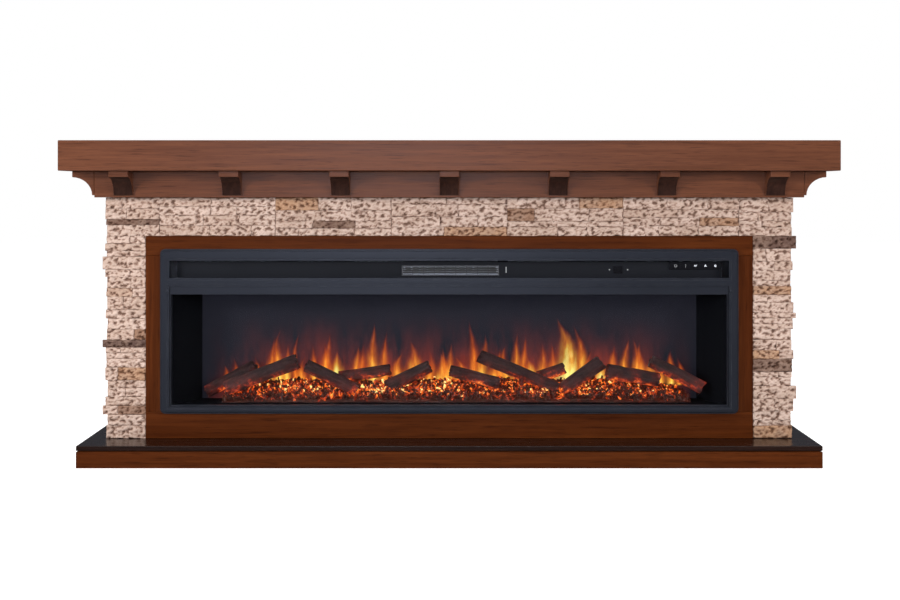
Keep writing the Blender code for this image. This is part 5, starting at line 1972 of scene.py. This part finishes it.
@dataclass
class Studio:
    """A pale floor, soft lamps and the camera."""

    lens: float = 52.66
    eye: tuple[float, float, float] = (0.0, -3.56, 0.7107)
    shift: tuple[float, float] = (0.0008, -0.1222)
    floor_colour: tuple[float, float, float] = (0.86, 0.86, 0.86)

    def build(self) -> None:
        """Builds the studio."""
        self.floor()
        self.world()
        self.lamp(
            "left",
            (-3.3, -2.5, 1.30),
            (-0.3, 0.0, 0.50),
            (0.8, 0.9),
            112.0,
            (1.0, 0.97, 0.94),
            mirrored=False,
        )
        self.lamp(
            "right", (3.4, -2.5, 1.30), (0.3, 0.0, 0.50), (0.8, 0.9), 84.0, (1.0, 0.96, 0.92), mirrored=False
        )
        self.lamp("sheen", (-0.35, -4.6, 1.00), (-0.15, 0.0, 0.80), (1.1, 0.45), 26.0, (0.78, 0.84, 1.0))
        self.lamp("top", (0.0, -1.2, 3.2), (0.0, 0.0, 0.40), (4.0, 1.2), 26.0, (1.0, 1.0, 1.0))
        self.camera()

    def floor(self) -> None:
        """Builds the floor."""
        bm = bmesh.new()
        bmesh.ops.create_grid(bm, x_segments=1, y_segments=1, size=14.0)
        bmesh.ops.translate(bm, verts=bm.verts, vec=(0, 0, -0.0005))
        mesh = bpy.data.meshes.new("floor")
        bm.to_mesh(mesh)
        bm.free()
        paint = Paint("studio_floor")
        cloud = paint.group(SPECKLE, Scale=60.0)
        tint = tuple(value * 0.985 for value in self.floor_colour)
        pale = paint.wiring.mix(cloud.outputs["Cloud"], tint, self.floor_colour)
        path = paint.wiring.add("LightPath")
        mirrored = paint.wiring.mix(path.outputs["Is Glossy Ray"], pale, (0.10, 0.10, 0.10))
        paint.set(Base_Color=mirrored, Roughness=0.9, Specular_IOR_Level=0.0)
        lifted = tuple(value * 0.93 for value in self.floor_colour)
        paint.set(
            Emission_Color=paint.wiring.mix(path.outputs["Is Camera Ray"], (0.0, 0.0, 0.0), lifted),
            Emission_Strength=1.0,
        )
        mesh.materials.append(paint.material)
        item = bpy.data.objects.new("floor", mesh)
        bpy.context.scene.collection.objects.link(item)

    def world(self) -> None:
        """Sets an even surround, white behind the object and dimmer in what it reflects."""
        world = bpy.data.worlds.new("studio")
        world.use_nodes = True
        wiring = Wiring(world.node_tree)
        back = world.node_tree.nodes["Background"]
        back.inputs["Color"].default_value = (0.80, 0.84, 0.90, 1.0)
        back.inputs["Strength"].default_value = 0.40
        seen = wiring.add("Background", {"Color": (1.0, 1.0, 1.0, 1.0), "Strength": 1.0})
        mirrored = wiring.add("Background", {"Color": (0.80, 0.86, 1.0, 1.0), "Strength": 0.10})
        path = wiring.add("LightPath")
        dim = wiring.add(
            "MixShader", {0: path.outputs["Is Glossy Ray"], 1: back.outputs[0], 2: mirrored.outputs[0]}
        )
        join = wiring.add(
            "MixShader", {0: path.outputs["Is Camera Ray"], 1: dim.outputs[0], 2: seen.outputs[0]}
        )
        world.node_tree.links.new(join.outputs[0], world.node_tree.nodes["World Output"].inputs["Surface"])
        bpy.context.scene.world = world

    def lamp(
        self, name: str, place: Sequence[float], aim: Sequence[float], size: tuple[float, float],
        power: float, tint: tuple[float, float, float], mirrored: bool = True,
    ) -> None:
        """Adds a soft lamp that looks at a point.

        Args:
            name: The lamp's name.
            place: Where it stands.
            aim: The point that it looks at.
            size: Its width and height.
            power: Its power in watts.
            tint: Its colour.
            mirrored: False to keep its own shape out of glossy surfaces.
        """
        data = bpy.data.lights.new(name, "AREA")
        data.shape = "RECTANGLE"
        data.size, data.size_y = size
        data.energy = power
        data.color = tint
        item = bpy.data.objects.new(name, data)
        item.location = place
        item.rotation_euler = (Vector(aim) - Vector(place)).to_track_quat("-Z", "Y").to_euler()
        item.visible_glossy = mirrored
        bpy.context.scene.collection.objects.link(item)

    def camera(self) -> None:
        """Adds the level camera."""
        data = bpy.data.cameras.new("camera")
        data.lens = self.lens
        data.shift_x, data.shift_y = self.shift
        item = bpy.data.objects.new("camera", data)
        item.location = self.eye
        item.rotation_euler = (math.pi / 2, 0, 0)
        bpy.context.scene.collection.objects.link(item)
        bpy.context.scene.camera = item
        bpy.context.scene.view_settings.view_transform = "Standard"


def main() -> None:
    """Builds the fireplace and its studio in order."""
    shelf_light = (0.165, 0.056, 0.025)
    shelf_dark = (0.085, 0.027, 0.012)
    rail_light = (0.108, 0.026, 0.005)
    rail_dark = (0.044, 0.009, 0.0016)
    wood = Woodwork(
        shelf=(
            WoodFinish("walnut_across", shelf_dark, shelf_light, Grain.ALONG_X),
            WoodFinish("walnut_deep", shelf_dark, shelf_light, Grain.ALONG_Y),
        ),
        # walnut_cove is a much darker copy of the walnut: painted shade for the coves and undersides of the
        # corbels.
        cove=WoodFinish(
            "walnut_cove", (0.012, 0.005, 0.004), (0.050, 0.020, 0.013), Grain.ALONG_Z, coat=0.0, shine=0.15
        ),
        body=(
            WoodFinish("dark_walnut_across", rail_dark, rail_light, Grain.ALONG_X, shine=0.07),
            WoodFinish("dark_walnut_deep", rail_dark, rail_light, Grain.ALONG_Y, shine=0.07),
            WoodFinish("dark_walnut_upright", rail_dark, rail_light, Grain.ALONG_Z, shine=0.07),
        ),
        # hearth_walnut is a much darker copy of the walnut for the base's top board: painted shade on that top.
        hearth=WoodFinish(
            "hearth_walnut", (0.008, 0.003, 0.002), (0.022, 0.008, 0.005), Grain.ALONG_X, 0.26, 0.20, 0.4
        ),
    )
    slate = SteelFinish("slate_paint", (0.023, 0.026, 0.037), 0.36, 0.35, dust=0.02).build()
    backing = SteelFinish(
        "recess_paint", (0.013, 0.014, 0.018), 0.55, 0.0, wear=0.04, dust=0.008, shine=0.15
    ).build()
    bright = SteelFinish("slate_paint_light", (0.11, 0.11, 0.115), 0.34, 0.4).build()
    black = SteelFinish("black_paint", (0.012, 0.012, 0.014), 0.55, 0.2).build()
    lining = SteelFinish(
        "firebox_paint", (0.0040, 0.0042, 0.0058), 0.80, 0.0, wear=0.02, dust=0.003, shine=0.02
    ).build()
    zinc = SteelFinish("zinc_plate", (0.45, 0.46, 0.48), 0.40, 0.9, worn=(0.62, 0.63, 0.65)).build()
    foil = SteelFinish("reflector_foil", (0.80, 0.74, 0.58), 0.14, 1.0, worn=(0.9, 0.86, 0.75)).build()
    gloss = PlasticFinish("gloss_black_panel", (0.006, 0.006, 0.008), 0.08, bump=0.02).build()
    plastic = PlasticFinish("black_moulding", (0.020, 0.020, 0.021), 0.50).build()
    lit = MarkFinish("lit_mark", (0.85, 0.92, 1.0), 1.3).build()
    dim = MarkFinish("dim_mark", (0.55, 0.60, 0.65), 0.35).build()
    parts = (
        ("woodwork", wood),
        ("ledge stone", StoneWall(StoneFinish().build())),
        ("carcass", Carcass(RawBoardFinish())),
        ("trim and window", TrimAndWindow(slate, PaneFinish().build())),
        ("upper recess", UpperRecess(backing, bright, gloss, lit, dim)),
        ("firebox", Firebox(lining, ScreenFinish().build(), zinc)),
        ("fire bed", FireBed(EmberFinish().build(), LogFinish().build(), FlameFinish().build())),
        ("works", Works(zinc, black, foil, plastic, CircuitFinish().build())),
    )
    for name, part in parts:
        log.info("%s: %d pieces", name, part.build())
    Studio().build()


if __name__ == "__main__":
    logging.basicConfig(level=logging.INFO, format="%(name)s: %(message)s")
    main()
